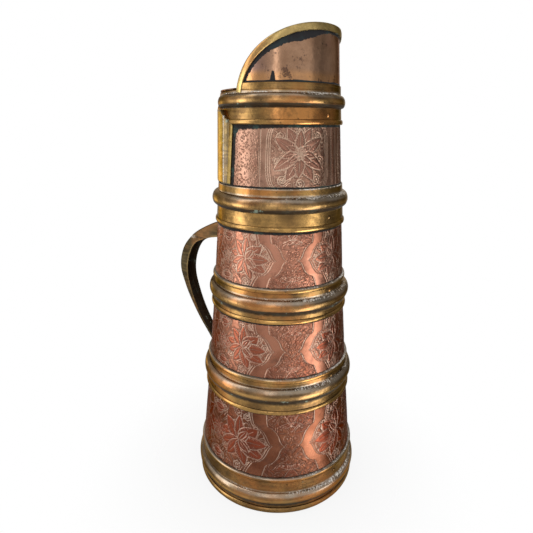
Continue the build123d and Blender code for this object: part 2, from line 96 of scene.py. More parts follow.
def grid_faces(rows, columns, close_rows, close_columns):
    """Corners of a grid's quads: a point, the same place in the next row, then both one column on."""
    row = np.arange(rows if close_rows else rows - 1)[:, None]
    column = np.arange(columns if close_columns else columns - 1)[None, :]
    next_row, next_column = (row + 1) % rows, (column + 1) % columns
    corners = [row * columns + column, next_row * columns + column,
               next_row * columns + next_column, row * columns + next_column]
    return np.stack(corners, axis=-1).reshape(-1, 4)


def filled(values, rows, columns):
    """A mark on a whole grid: a single row or column is repeated, and last rows left out become 0."""
    given = len(values) if len(values) > 1 else rows
    return np.pad(np.broadcast_to(values, (given, columns)), ((0, rows - given), (0, 0)))


def make_mesh(name, points, faces, marks):
    """Mesh from points in millimetres, corner numbers and marks of one number per point."""
    mesh = bpy.data.meshes.new(name)
    mesh.vertices.add(len(points))
    mesh.vertices.foreach_set("co", (points * MM).astype(np.float32).ravel())
    mesh.loops.add(faces.size)
    mesh.loops.foreach_set("vertex_index", faces.astype(np.int32).ravel())
    mesh.polygons.add(len(faces))
    mesh.polygons.foreach_set("loop_start", np.arange(0, faces.size, faces.shape[1], dtype=np.int32))
    mesh.update(calc_edges=True)
    for mark, values in marks.items():
        layer = mesh.attributes.new(mark, "FLOAT", "POINT")
        layer.data.foreach_set("value", values.astype(np.float32).ravel())
    return mesh


def sew(mesh, ends, keep_above, keep_below):
    """Merges points that fall together, cuts at a level, fills open ends, turns the faces outwards."""
    work = bmesh.new()
    work.from_mesh(mesh)
    bmesh.ops.remove_doubles(work, verts=work.verts, dist=WELD * MM)
    for cut, normal in [(keep_above, (0, 0, -1)), (keep_below, (0, 0, 1))]:
        if cut is not None:
            parts = list(work.verts) + list(work.edges) + list(work.faces)
            place = (0, 0, cut * MM)
            bmesh.ops.bisect_plane(work, geom=parts, plane_co=place, plane_no=normal, clear_outer=True)
    if ends:
        bmesh.ops.holes_fill(work, edges=[e for e in work.edges if e.is_boundary], sides=0)
    bmesh.ops.recalc_face_normals(work, faces=work.faces)
    work.to_mesh(mesh)
    work.free()


def shells(name, grids, marks, finish, node, slot, close_rows=True, close_columns=True, ends=False,
           body="vessel", sharp=35.0, keep_above=None, keep_below=None):
    """One finished piece from a list of grids of points, with as many sets of marks."""
    faces, joined, start = [], {mark: [] for mark in marks[0]}, 0
    for grid, own_marks in zip(grids, marks):
        rows, columns = grid.shape[:2]
        faces.append(grid_faces(rows, columns, close_rows, close_columns) + start)
        for mark, values in own_marks.items():
            joined[mark].append(filled(values, rows, columns).ravel())
        start += rows * columns
    points = np.concatenate([grid.reshape(-1, 3) for grid in grids])
    joined = {mark: np.concatenate(values) for mark, values in joined.items()}
    mesh = make_mesh(name, points, np.concatenate(faces), joined)
    sew(mesh, ends, keep_above, keep_below)
    mesh.shade_smooth()
    mesh.set_sharp_from_angle(angle=math.radians(sharp))
    made = bpy.data.objects.new(name, mesh)
    bpy.context.collection.objects.link(made)
    made.data.materials.append(finish)
    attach(made, body)
    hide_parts(node)
    print(f"{name}: {len(mesh.polygons)} faces, stands for {node}")


def piece(name, points, marks, *rest, **options):
    """One finished piece from a single grid, closed round the ewer unless told otherwise."""
    shells(name, [points], [marks], *rest, **options)


# %% [markdown]
# ## The ewer's own sizes
#
# All the metalwork follows one slope: the outside of the copper, which is straight between the
# joints. Hoops, mouldings and jacket are then given by how far they stand off that slope, as
# in the CAD source. Hand-made metal is never quite true, so a few slow waves are kept ready
# that every ring can borrow for dents and wobble.

# %% Slope of the copper and slow waves
WALL_Z = np.array([0.0, 38.0, 130.0, 218.5, 310.0, 396.3, 458.0])
WALL_R = np.array([85.0, 83.3, 74.3, 66.5, 60.1, 53.9, 50.1])
COPPER = 1.2
SOLDER = 0.05
HOOP_SHEET = 1.0
HOOP_BACK = SOLDER + HOOP_SHEET
WAVES = [(2, 0.021, 0.34), (3, 0.034, 0.27), (5, 0.055, 0.2), (9, 0.09, 0.12), (14, 0.16, 0.07)]


def wall(z):
    """Outer radius of the copper at a height, straight between the joints."""
    return np.interp(z, WALL_Z, WALL_R)


def wave(angle, z, seed, fine=1.0):
    """Slow unevenness of about -1 to 1: five sines of turns, climb and share, shifted by the seed."""
    total = 0.0
    for turns, climb, share in WAVES:
        count = round(turns * fine)
        total = total + share * np.sin(count * angle + climb * fine * z + seed * (1.7 + count))
    return total


def speckle(angle, z, seed):
    """Fast unevenness of about -1 to 1, for ragged edges: a product and a sum of quick sines."""
    quick = np.sin(61 * angle + 0.9 * z + seed) * np.sin(0.83 * z - 37 * angle + 2.1 * seed)
    return 0.6 * quick + 0.4 * np.sin(97 * angle + 1.31 * z + 3.3 * seed)


def around(angle, radius, z):
    """Points from angle, radius and height."""
    angle, radius, z = np.broadcast_arrays(angle, radius, z)
    return np.stack([radius * np.cos(angle), radius * np.sin(angle), z], axis=-1)


def whole_turn(columns):
    """One row of angles, evenly spaced all round."""
    return np.linspace(-math.pi, math.pi, columns, endpoint=False)[None, :]


def step(value, low, high):
    """Smooth rise from 0 at low to 1 at high."""
    share = np.clip((value - low) / (high - low), 0, 1)
    return share * share * (3 - 2 * share)


def near(gap, full, none):
    """1 up to the gap called full, then a smooth fall to 0 at the gap called none."""
    return 1 - step(gap, full, none)


print("copper radius at foot and lip:", wall(0.0), round(float(wall(WALL_Z[-1])), 1))

# %% [markdown]
# ## Writing finishes as short recipes
#
# A finish is a small network of shader nodes. Written out in full such a network takes pages,
# so a tiny class keeps it short: it makes a node, joins what is given to it and hands back the
# output. Every recipe then reads like a maker's note: start from this colour, paint that one
# over it by this much noise. Patterns use Object coordinates, so they stay put on the metal.

# %% Recipe helper
class Nodes:
    """A tree of shader nodes being written: each call adds a node and returns its output."""

    def __init__(self, tree):
        self.tree = tree

    def add(self, kind, **settings):
        """A new node with these settings."""
        made = self.tree.nodes.new(kind)
        for key, value in settings.items():
            setattr(made, key, value)
        return made

    def feed(self, socket, value):
        """Joins an output to the socket, or sets a number or a colour on it."""
        if isinstance(value, bpy.types.NodeSocket):
            self.tree.links.new(value, socket)
        elif isinstance(value, tuple) and len(value) == 3 and socket.type == "RGBA":
            socket.default_value = (*value, 1.0)
        else:
            socket.default_value = value

    def made(self, kind, feeds, output=0, **settings):
        """Output of a new node whose sockets, by name or number, are fed with these values."""
        node = self.add(kind, **settings)
        for socket, value in feeds.items():
            self.feed(node.inputs[socket], value)
        return node.outputs[output]

    def math(self, operation, *values, clamp=False):
        """One sum of up to three values."""
        return self.made("ShaderNodeMath", dict(enumerate(values)), operation=operation, use_clamp=clamp)

    def times(self, first, second):
        """Product of two values."""
        return self.math("MULTIPLY", first, second)

    def plus(self, first, second):
        """Sum of two values."""
        return self.math("ADD", first, second)

    def minus(self, first, second):
        """First value less the second."""
        return self.math("SUBTRACT", first, second)


class Finish(Nodes):
    """A material being written, with the colour that has been painted so far."""

    def __init__(self, name, roughness, metallic=1.0):
        self.material = bpy.data.materials.new(name)
        self.material.use_nodes = True
        super().__init__(self.material.node_tree)
        self.shader = self.tree.nodes["Principled BSDF"]
        self.shader.inputs["Metallic"].default_value = metallic
        self.shader.inputs["Roughness"].default_value = roughness
        self.place = self.add("ShaderNodeTexCoord").outputs["Object"]
        self.colour = None

    def noise(self, scale, detail=3.0, roughness=0.55, distortion=0.0, place=None):
        """Soft noise, mostly between 0.3 and 0.7, with so many bumps to the metre."""
        feeds = {"Vector": place or self.place, "Scale": scale, "Detail": detail, "Roughness": roughness,
                 "Distortion": distortion}
        return self.made("ShaderNodeTexNoise", feeds)

    def cells(self, scale):
        """Distance to the middle of the nearest cell, with so many cells to the metre."""
        return self.made("ShaderNodeTexVoronoi", {"Vector": self.place, "Scale": scale}, "Distance")

    def stretched(self, across, along):
        """Object coordinates drawn out, for marks that run round the ewer or up it."""
        return self.made("ShaderNodeMapping", {"Vector": self.place, "Scale": (across, across, along)})

    def mark(self, name):
        """A mark of the mesh."""
        return self.add("ShaderNodeAttribute", attribute_name=name).outputs["Fac"]

    def rise(self, value, low, high):
        """0 at low and 1 at high, smooth between. Low may be the larger of the two."""
        return self.made("ShaderNodeMapRange", {"Value": value, "From Min": low, "From Max": high},
                         interpolation_type="SMOOTHSTEP")

    def between(self, value, low, high):
        """Number that goes from low to high as the value goes from 0 to 1."""
        return self.made("ShaderNodeMapRange", {"Value": value, "To Min": low, "To Max": high})

    def patches(self, scale, low, high, detail=3.0, roughness=0.55):
        """Patches of 1 in a field of 0: a noise that rises between low and high."""
        return self.rise(self.noise(scale, detail, roughness), low, high)

    def frayed(self, value, noise, fray, low, high):
        """A value that rises between low and high after noise has moved it up or down by fray."""
        return self.rise(self.plus(value, self.between(noise, -fray, fray)), low, high)

    def blend(self, share, first, second):
        """Colour that goes from the first to the second as the share goes from 0 to 1."""
        return self.made("ShaderNodeMix", {0: share, 6: first, 7: second}, 2, data_type="RGBA")

    def paint(self, share, colour, most=None):
        """Lays a colour over what is there by this share, held to the part called most."""
        share = share if most is None else self.times(share, most)
        self.colour = self.blend(share, self.colour, colour)

    def bump(self, height, strength, distance, below=None):
        """Normal of a relief, laid over the relief below it."""
        feeds = {"Height": height, "Strength": strength, "Distance": distance}
        if below is not None:
            feeds["Normal"] = below
        return self.made("ShaderNodeBump", feeds)

    def done(self, glance, metallic, roughness, normal):
        """Feeds the painted colour, its tint at a glance and the rest to the shader."""
        feeds = {"Base Color": self.colour, "Specular Tint": glance, "Metallic": metallic,
                 "Roughness": roughness, "Normal": normal}
        for name, value in feeds.items():
            self.feed(self.shader.inputs[name], value)
        return self.material


print("recipe helper ready")

# %% [markdown]
# ## Old copper, chased with flowers
#
# The drums are sheet copper that was worked from the outside with a liner and small ring
# punches. Cut lines are polished by age and catch the light, petals were left smooth and look
# redder, and the punched ground is matt and sparkles. Near the hoops the copper has turned
# nearly black with a breath of green. One recipe serves all drums and reads the marks that the
# pattern leaves on the mesh. The mark line is a distance in millimetres, the mark tone runs
# from 0 on the lowest drum to 1 on the top one, which is browner, and the rest are shares.

# %% Recipe for the chased copper
COPPER_GLANCE = (0.50, 0.37, 0.31)
BRASS_GLANCE = (0.56, 0.47, 0.35)
GOLD_GLANCE = (0.86, 0.67, 0.37)

FOOT_COPPER = (0.135, 0.046, 0.024), (0.28, 0.110, 0.060)
MIDDLE_COPPER = (0.31, 0.12, 0.07), (0.50, 0.225, 0.145)
NECK_COPPER = (0.28, 0.150, 0.098), (0.50, 0.285, 0.20)
PETAL_RED = (0.25, 0.056, 0.028), (0.40, 0.105, 0.055)
PETAL_NECK = (0.28, 0.115, 0.08)
TARNISH = (0.11, 0.055, 0.04)
PIT_BROWN = (0.12, 0.048, 0.032)
LINE_SHADE = (0.09, 0.035, 0.024)
LINE_PALE = (0.46, 0.33, 0.255), (0.54, 0.395, 0.29)
STAIN_BLACK = (0.016, 0.016, 0.016), (0.03, 0.062, 0.054)
LINE_NEAR, LINE_GONE = 0.2, 0.52


def chased_copper():
    """Copper whose colour, roughness and bump follow the marks line, petal, ground, patina and tone."""
    f = Finish("copper_engraved", 0.36)
    tone, line, ground = f.mark("tone"), f.mark("line"), f.mark("ground")
    fine, streaky, lower = f.noise(240.0), f.patches(26.0, 0.3, 0.7, 4.0), f.rise(tone, 0.0, 0.5)
    foot, middle, neck = [f.blend(streaky, *pair) for pair in (FOOT_COPPER, MIDDLE_COPPER, NECK_COPPER)]
    f.colour = f.blend(lower, foot, f.blend(f.rise(tone, 0.55, 1.0), middle, neck))
    petal = f.blend(f.rise(tone, 0.4, 1.0), f.blend(lower, *PETAL_RED), PETAL_NECK)
    f.paint(f.times(f.mark("petal"), f.between(f.noise(90.0), 0.55, 1.15)), petal)
    f.paint(f.patches(58.0, 0.55, 0.70, 5.0, 0.65), TARNISH, 0.55)
    punched = f.cells(520.0)
    pits = f.frayed(punched, f.noise(200.0, 2.0), 0.3, 0.62, 0.2)
    f.paint(f.times(ground, pits), PIT_BROWN, 0.4)
    dashes = f.times(ground, f.patches(150.0, 0.50, 0.60, 4.0, 0.7))
    f.paint(dashes, f.blend(streaky, petal, f.colour), 0.5)
    # Painted shadow along both sides of each cut line, where the relief would throw shade.
    f.paint(f.minus(f.rise(line, 0.3, 0.55), f.rise(line, 0.7, 1.2)), LINE_SHADE, 0.45)
    rubbed = f.times(f.between(f.noise(140.0), 0.2, 1.6), f.between(f.noise(36.0), 0.0, 1.6))
    f.paint(f.times(f.rise(line, LINE_GONE, LINE_NEAR), rubbed), f.blend(tone, *LINE_PALE))
    stain = f.frayed(f.mark("patina"), fine, 0.22, 0.35, 0.75)
    f.paint(stain, f.blend(f.patches(95.0, 0.5, 0.68), *STAIN_BLACK))
    rough = f.plus(f.between(f.noise(120.0, 4.0), 0.17, 0.38), f.times(ground, 0.02))
    hammered = f.bump(f.noise(60.0, 2.0), 0.35, 0.0010)
    stippled = f.bump(f.times(f.rise(punched, 0.1, 0.6), ground), 0.7, 0.0004, hammered)
    scored = f.bump(f.rise(line, LINE_NEAR, LINE_GONE), 0.5, 0.0003, stippled)
    return f.done(COPPER_GLANCE, f.between(stain, 1.0, 0.15), f.plus(rough, f.times(stain, 0.4)),
                  f.bump(fine, 0.12, 0.0004, scored))


COPPER_CHASED = chased_copper()
print("finish:", COPPER_CHASED.name)

# %% [markdown]
# ## The pattern, drawn with distances
#
# A chaser marks out large pointed panels, fills them with a many-petalled flower and mats the
# ground between with punches. Drawing this with curves and cutting them into the sheet would be
# slow and heavy. Instead each point of the drum asks how far it is from every line of the
# pattern; near a line it sinks a little. That needs only arithmetic on whole arrays, and the
# same distances give the marks for colour.

# %% Petals
FAR = 3.0
RIB = 2.1


def petal_shape(x, y, turn, length, breadth, curl):
    """Inside of a pointed petal that grows from the origin, and distances to its outline and veins.

    Along the petal t runs from 0 to 1. Its half-width is breadth times t^0.7 (1 - t)^0.9, scaled
    to peak at 1, and its middle line bends sideways by curl times t squared."""
    along = (x * math.cos(turn) + y * math.sin(turn)) / length
    t = np.clip(along, 0.001, 0.999)
    side = -x * math.sin(turn) + y * math.cos(turn) - curl * length * t * t
    half = breadth * t ** 0.7 * (1 - t) ** 0.9 * 2.99
    gap = np.abs(side) - half
    within = (along > 0) & (along < 1)
    outline = np.where(within, np.abs(gap) * 0.9, FAR)
    vein = np.where((t > 0.08) & (t < 0.8), np.abs(side) + 0.1, FAR)
    rib = np.abs((along * length - np.abs(side) * 1.1) / RIB % 1.0 - 0.5) * RIB * 0.7 + 0.2
    vein = np.minimum(vein, np.where(np.abs(side) > 0.5 * half, rib, FAR))
    return within & (gap < 0), outline, vein


def add_flower(lines, petals, x, y, leaves, size=1.0):
    """Lays petals one over another: each hides the lines under it and adds its own outline and vein."""
    for angle, length, breadth, curl in leaves:
        inside, outline, vein = petal_shape(x, y, math.radians(angle), length * size, breadth * size, curl)
        lines = np.where(inside, np.minimum(outline, vein), np.minimum(lines, outline))
        petals = np.where(inside, 1.0, petals)
    return lines, petals


# %% [markdown]
# A flower is a list of petals: the way each one points in degrees, its length and half-width in
# millimetres and its curl. Between flowers run curled tendrils and a field of small leaves. The
# leaves are the level lines of a wavy landscape, which is a cheap way to get lines that branch
# and never cross.

# %% Flowers, tendrils and leaves
LOTUS = [(160, 20, 5.6, 0.12), (124, 21, 5.6, 0.06), (-152, 18, 5.2, -0.14), (-116, 19, 5.4, -0.14),
         (88, 21, 4.6, 0.05), (-80, 21, 5.2, 0.12), (47, 20, 6.4, -0.16), (-38, 24, 5.6, 0.14),
         (2, 23, 5.4, -0.05), (24, 11, 2.6, 0.3), (-18, 12, 2.4, -0.3), (-60, 12, 2.6, 0.3),
         (68, 11, 2.6, -0.3)]
WHEEL = [(112, 23, 5.4, 0.1), (68, 23, 5.6, -0.1), (-68, 25, 5.2, 0.12), (-112, 25, 5.6, -0.12),
         (155, 25, 5.2, -0.1), (25, 25, 5.2, 0.1), (-155, 26, 5.2, 0.12), (-25, 26, 5.2, -0.12),
         (90, 19, 4.4, 0.06), (-90, 20, 4.6, 0.06), (180, 15, 3.2, 0.2), (0, 15, 3.2, -0.2),
         (135, 12, 2.6, 0.3), (45, 12, 2.6, -0.3), (-50, 12, 2.6, 0.3), (-130, 12, 2.6, -0.3)]
ROSETTE = [(a, 8.5, 2.3, 0.15) for a in range(0, 360, 45)]
ROSETTE += [(a, 4.5, 1.6, 0.0) for a in range(20, 380, 72)]
SPRAY = [(205, 12, 2.6, 0.2), (165, 11, 2.4, -0.2), (185, 15, 2.8, 0.0)]
CURLS = [(-60, 17, 3.6, 0.5), (20, 15, 3.2, -0.5), (100, 13, 3.0, 0.5), (-140, 13, 3.0, -0.4)]
ARM_GAP = 0.42
LEAF_GAP = 1.3


def scroll(x, y, reach, hand=1.0, turn=0.0):
    """Distance to a curled tendril: a spiral of so many radii between its arms, kept inside its reach."""
    radius, angle = np.hypot(x, y), np.arctan2(y, x)
    pitch = ARM_GAP * reach
    arm = (radius / pitch + hand * (angle - turn) / (2 * math.pi)) % 1.0
    return np.where(radius < reach, (0.5 - np.abs(arm - 0.5)) * pitch, FAR)


def leafy(x, y):
    """A field of soft hills and hollows 13 mm apart, each bent sideways by the other direction."""
    return np.sin(0.46 * x + 1.7 * np.sin(0.31 * y)) + np.sin(0.50 * y + 1.6 * np.sin(0.35 * x + 0.8))


def engraved_leaves(x, y, nudge=0.05):
    """Distance to the level lines of the leafy field: the height left to a line, over the slope there."""
    field = leafy(x, y)
    slope = np.hypot(leafy(x + nudge, y) - field, leafy(x, y + nudge) - field) / nudge
    return np.abs(field / LEAF_GAP % 1.0 - 0.5) * LEAF_GAP / (slope + 0.03) + 0.16


print("petals in a flower:", len(LOTUS), "in the top drum's wheel:", len(WHEEL))

# %% Lower drums: pointed panels
PANELS = 3
LOWER_CENTRE, PANEL_HALF = math.radians(-103.8), math.radians(46.3)
BRACKET_Y = [0.0, 0.06, 0.15, 0.3, 0.42, 0.54, 0.6, 0.66, 0.85, 1.1]
BRACKET_IN = [1.0, 0.96, 0.935, 0.90, 0.86, 0.79, 0.705, 0.69, 0.665, 0.655]
BRACKET_OUT = [1.19, 1.15, 1.12, 1.095, 1.06, 1.0, 0.93, 0.913, 0.905, 0.90]
SLANT = 0.86
TUCK_IN, TUCK_OUT = 0.16, 0.12
DOUBLE_LINE = 2.1
FLOWER_SIZE = 27.0
TENDRILS = [(0.84, 0.1, 4.2, 1), (0.72, -0.3, 4.4, -1), (0.74, 0.42, 4.0, 1), (0.3, 0.42, 4.6, -1),
            (0.2, -0.35, 5.0, 1), (0.44, -0.82, 4.4, -1), (0.42, 0.88, 4.4, 1), (0.12, 0.75, 4.0, 1),
            (0.1, -0.8, 4.2, -1), (0.58, 0.8, 3.8, -1), (0.64, -0.72, 3.8, 1), (0.22, 0.1, 4.4, 1)]
FLOWERS = [(0.45, 0.0, LOTUS), (0.1125, 0.74, SPRAY), (0.1125, -0.74, SPRAY)]


def bracket_pattern(angle, z, low, high):
    """Distance to lines, petals and ground of the pointed panels, three round the drum.

    x is the distance along the wall from the middle of the nearest panel and y the height from the
    band's middle. The panel's edge is a table of half-width against height, so a point's distance
    from the edge is the difference in x times the cosine of the edge's slant. The lower corners are
    tucked in. Flowers and tendrils are placed in half-widths and half-heights of the panel."""
    middle, half = (low + high) / 2, (high - low) / 2
    radius = float(wall(middle))
    period = 2 * math.pi / PANELS
    x = ((angle - LOWER_CENTRE + period / 2) % period - period / 2) * radius
    y = z - middle
    across, scale, size = np.abs(x), radius * PANEL_HALF, half / FLOWER_SIZE
    tuck = np.maximum(-y / half - 0.5, 0)
    inner = scale * (np.interp(np.abs(y) / half, BRACKET_Y, BRACKET_IN) - TUCK_IN * tuck)
    outer = scale * (np.interp(np.abs(y) / half, BRACKET_Y, BRACKET_OUT) - TUCK_OUT * tuck)
    to_inner, to_outer = (across - inner) * SLANT, (across - outer) * SLANT
    lines = engraved_leaves(across / size, y / size)
    petals = np.zeros_like(lines)
    for at_x, at_y, reach, hand in TENDRILS:
        curled = scroll(across - at_x * scale, y - at_y * half, reach * size, hand, at_x * 9)
        lines = np.minimum(lines, curled)
    for at_x, at_y, leaves in FLOWERS:
        lines, petals = add_flower(lines, petals, across - at_x * scale, y - at_y * half, leaves, size)
    lines, petals = add_flower(lines, petals, x, y, ROSETTE, size)
    margin = to_inner > -1.6
    lines, petals = np.where(margin, FAR, lines), np.where(margin, 0.0, petals)
    lines = np.minimum(lines, np.abs([to_inner, to_inner + DOUBLE_LINE, to_outer]).min(axis=0))
    past = across - period / 2 * radius
    curls, leaves = add_flower(FAR, 0.0, past, np.abs(y) - 0.72 * half, CURLS, size * 0.7)
    field = np.minimum(curls + 0.12, engraved_leaves(past / size, y / size + 4.0) + 0.06)
    outside = to_outer > 0.8
    ground = np.where(outside, 1.0 - leaves, np.where(to_inner < -2.4, 0.34 * (1 - petals), 0.0))
    lines = np.where(outside, np.minimum(lines, field), lines)
    return lines, np.where(outside, 0.5 * leaves, petals), ground


# %% Top drum: two round-cornered panels
UPPER_CENTRE, RING_HALF, FRAME_HALF = math.radians(38.3), math.radians(29.3), math.radians(34.3)
RING_LINES, FRAME_LINE = 1.7, 1.6
RING_INSIDE = -4.4
WHEEL_SIZE, WHEEL_UP = 26.0, 3.0
UPPER_TENDRILS = [(17, 17), (-17, 17), (19, -3), (-19, -3), (15, -19), (-15, -19), (0, 21), (0, -22)]


def medallion_pattern(angle, z, low, high):
    """Distance to lines, petals and ground of the top drum: a panel each side of the lip's plane.

    A panel's edge is a squarish ring: half-width times (1 - (y / height)^4)^(1/4)."""
    middle, half = (low + high) / 2, (high - low) / 2
    radius = float(wall(middle))
    x, y = (np.abs(angle) - UPPER_CENTRE) * radius, z - middle
    ring = (1 - np.clip(np.abs(y) / (half * 1.16), 0, 0.999) ** 4) ** 0.25
    to_ring = np.abs(x) - radius * RING_HALF * ring
    to_frame = np.abs(x) - radius * FRAME_HALF
    lines = engraved_leaves(x + 3.0, y)
    for at_x, at_y in UPPER_TENDRILS:
        lines = np.minimum(lines, scroll(x - at_x, y - at_y, 4.6, 1.0 if at_x > 0 else -1.0, at_y))
    petals = np.zeros_like(lines)
    lines, petals = add_flower(lines, petals, x, y - WHEEL_UP, WHEEL, half / WHEEL_SIZE)
    lines, petals = add_flower(lines, petals, x, y - WHEEL_UP, ROSETTE, 0.7)
    margin = to_ring > RING_INSIDE
    lines, petals = np.where(margin, FAR, lines), np.where(margin, 0.0, petals)
    rings = np.abs([to_ring, to_ring + RING_LINES, to_ring + 2 * RING_LINES]).min(axis=0)
    frames = np.minimum(np.abs(to_frame), np.abs(to_frame - FRAME_LINE) + 0.15)
    ground = np.where(to_frame > 2.0, 1.0, np.where(to_ring < RING_INSIDE, 0.3 * (1 - petals), 0.0))
    return np.minimum(lines, np.minimum(rings, frames)), petals, ground


print("patterns ready")

# %% [markdown]
# ## The four drums
#
# Each drum is a cone of 1.2 mm sheet. On the real one the chasing was done flat before the
# sheet was rolled up and seamed. Here the outside is a fine grid that the pattern presses down
# by a quarter of a millimetre, and the inside is a plain wall. The rows are close together only
# where the copper shows between two hoops. A black rim lies along each hoop, widest under it,
# and on the top drum it also runs up beside the jacket, where it is partly patina and partly
# painted shadow, darkest in the corner where the jacket meets the top hoop.

# %% Drums
BANDS = {"drum_1": (324.0, 376.7), "drum_2": (235.1, 286.8), "drum_3": (146.8, 201.5),
         "drum_4": (40.3, 110.1)}
ENDS = {"drum_1": (310.0, 396.3), "drum_2": (218.5, 310.0), "drum_3": (130.0, 218.5), "drum_4": (0.0, 130.0)}
TONES = {"drum_1": 1.0, "drum_2": 0.62, "drum_3": 0.3, "drum_4": 0.0}
REDNESS = {"drum_1": 0.6, "drum_2": 0.55, "drum_3": 0.95, "drum_4": 1.0}
UPPER_STAIN = {"drum_1": 5.0, "drum_2": 4.8, "drum_3": 3.2, "drum_4": 2.2}
LOWER_STAIN = {"drum_1": 2.8, "drum_2": 1.1, "drum_3": 0.9, "drum_4": 0.9}
DRUM_COLUMNS = 820
ROW_STEP = 0.62
CUT, PUNCHED, RAISED, DENTED = 0.2, 0.05, 0.07, 0.10
JACKET_SIDE = 103.5


def rim_patina(name, angle, z, low, high):
    """Black rim beside the hoops: from 1 at a hoop to 0 some millimetres away, with a ragged front."""
    ragged = 1 + 0.3 * wave(angle, z, 4.0) + 0.17 * speckle(angle, z, 2.0)
    left = 0.62 + 0.65 * np.maximum(np.cos(angle + math.radians(110)), 0) ** 2
    below = near(z - low, 0.2, LOWER_STAIN[name] * ragged)
    over = near(high - z, 0.25 * UPPER_STAIN[name], UPPER_STAIN[name] * left * ragged)
    return np.maximum(below, over)


def jacket_patina_and_shadow(angle, z, high):
    """Black strip beside the jacket, and a round dark corner where it meets the top hoop: patina and painted
    shadow.
    """
    gap = JACKET_SIDE - np.degrees(np.abs(angle))
    strip = near(gap, 2.4, 6.4 + 1.5 * wave(angle, z, 1.0) + 0.8 * speckle(angle, z, 1.0))
    corner = near(np.hypot(np.maximum(high - z, 0), np.maximum(gap, 0)), 7.5, 10.5)
    return np.maximum(strip, corner)


def build_drum(name):
    """Closed sheet cone: fine rows outside, three rows inside."""
    low, high = BANDS[name]
    bottom, top = ENDS[name]
    fine_rows = np.linspace(low - 0.8, high + 0.8, int((high - low) / ROW_STEP))
    z = np.concatenate([[bottom], fine_rows, [top]])[:, None]
    angle = whole_turn(DRUM_COLUMNS)
    pattern = medallion_pattern if name == "drum_1" else bracket_pattern
    lines, petals, ground = pattern(angle, z, low, high)
    patina = rim_patina(name, angle, z, low, high)
    # On the top drum the patina mark also carries painted shadow beside the jacket.
    if name == "drum_1":
        patina = np.maximum(patina, jacket_patina_and_shadow(angle, z, high))
    relief = CUT * near(lines, 0.15, 0.75) + PUNCHED * ground - RAISED * petals
    relief = relief + DENTED * wave(angle, z, 3.0, 2.0)
    shown = (z > low - 0.5) & (z < high + 0.5)
    inside = np.array([[top], [(top + bottom) / 2], [bottom]])
    grid = [around(angle, wall(z) - np.where(shown, relief, 0.0), z),
            around(angle, wall(inside) - COPPER, inside)]
    marks = {"line": np.vstack([np.minimum(lines, FAR), np.full((len(inside), DRUM_COLUMNS), FAR)]),
             "petal": petals * REDNESS[name], "ground": ground, "patina": patina,
             "tone": np.full_like(lines, TONES[name])}
    piece(name + "_chased", np.concatenate(grid), marks, COPPER_CHASED, name, "copper_engraved")


for name in BANDS:
    build_drum(name)

# %% [markdown]
# ## Brass that has been handled for a century
#
# The brass parts share one recipe with three colours: a dark brown tarnish, the golden brown of
# the metal, and a brighter gold where hands and cloths have rubbed. Marks say where it is worn
# and where a painted highlight lies, where black grime sits in a corner and where painted shade
# falls under a moulding, and where grey solder was wiped over a joint, with painted glints on its
# lumps. Solder is dull, lumpy and pale, so it gets its own colour, roughness and a coarse bump.
# In the grime a little verdigris blooms.

# %% Recipe for brass
REDDER = (0.75, 0.5, 0.45)
SPOT_BROWN = (0.04, 0.024, 0.012)
# Dark grime colours, also used as painted shade under mouldings, beside the jacket and on the foot hoop.
DIRT_AND_SHADE = (0.034, 0.02, 0.010), (0.05, 0.052, 0.038)
VERDIGRIS = (0.26, 0.33, 0.26)
SOLDER_FILM = (0.44, 0.375, 0.30)
# Solder grey, whose paler end on the lumps is partly painted glint.
SOLDER_AND_GLINT_GREY = (0.30, 0.265, 0.215), (0.84, 0.81, 0.76)


def old_brass(name, dark, mid, bright, roughness, streak=0.22, glance=BRASS_GLANCE):
    """Brass on marks of wear and painted highlight, grime and painted shade, solder and painted glint,
    brushed round.
    """
    f = Finish(name, roughness)
    cloud, fine, lumps = f.noise(42.0, 4.0, 0.6), f.noise(330.0), f.noise(520.0, 4.0, 0.7)
    brushed = f.noise(22.0, 3.0, 0.6, place=f.stretched(1.0, 16.0))
    f.colour = f.blend(f.rise(cloud, 0.38, 0.64), dark, mid)
    f.paint(f.rise(brushed, 0.48, 0.66), bright, streak)
    # Bright brass where the wear mark is high: real rubbing, and on some pieces a painted highlight.
    f.paint(f.times(f.mark("worn"), f.between(cloud, 0.35, 1.2)), bright)
    coppery = tuple(part * share for part, share in zip(bright, REDDER))
    f.paint(f.patches(15.0, 0.5, 0.66, 3.0, 0.6), coppery, 0.7)
    f.paint(f.patches(85.0, 0.47, 0.62, 5.0, 0.75), dark, 0.42)
    f.paint(f.patches(150.0, 0.62, 0.70, 4.0, 0.7), SPOT_BROWN, 0.7)
    # Dark where the grime mark is high: real grime, and painted shade in corners and under mouldings.
    grime = f.frayed(f.mark("grime"), fine, 0.2, 0.25, 0.8)
    f.paint(grime, f.blend(f.times(f.patches(70.0, 0.52, 0.66), 0.6), *DIRT_AND_SHADE))
    f.paint(f.times(f.patches(88.0, 0.64, 0.70, 3.0, 0.6), f.rise(grime, 0.1, 0.5)), VERDIGRIS, 0.75)
    patchy = f.times(f.mark("solder"), f.between(f.noise(34.0, 2.0), 0.3, 1.7))
    f.paint(f.times(f.rise(patchy, 0.03, 0.4), f.between(f.noise(75.0, 4.0), 0.0, 1.1)), SOLDER_FILM)
    # Pale lumps of solder: real solder, and painted glints where the mark is strong on the right.
    solder = f.frayed(patchy, lumps, 0.5, 0.62, 0.86)
    f.paint(solder, f.blend(f.rise(lumps, 0.42, 0.64), *SOLDER_AND_GLINT_GREY))
    covered = f.math("MAXIMUM", grime, solder)
    rough = f.plus(f.between(cloud, roughness + 0.08, roughness - 0.04), f.times(covered, 0.28))
    soft = f.bump(f.noise(70.0), 0.55, 0.0009)
    scratched = f.bump(brushed, 0.1, 0.0003, soft)
    lumpy = f.bump(f.times(lumps, solder), 0.6, 0.0006, scratched)
    return f.done(glance, f.between(covered, 1.0, 0.2), rough, lumpy)


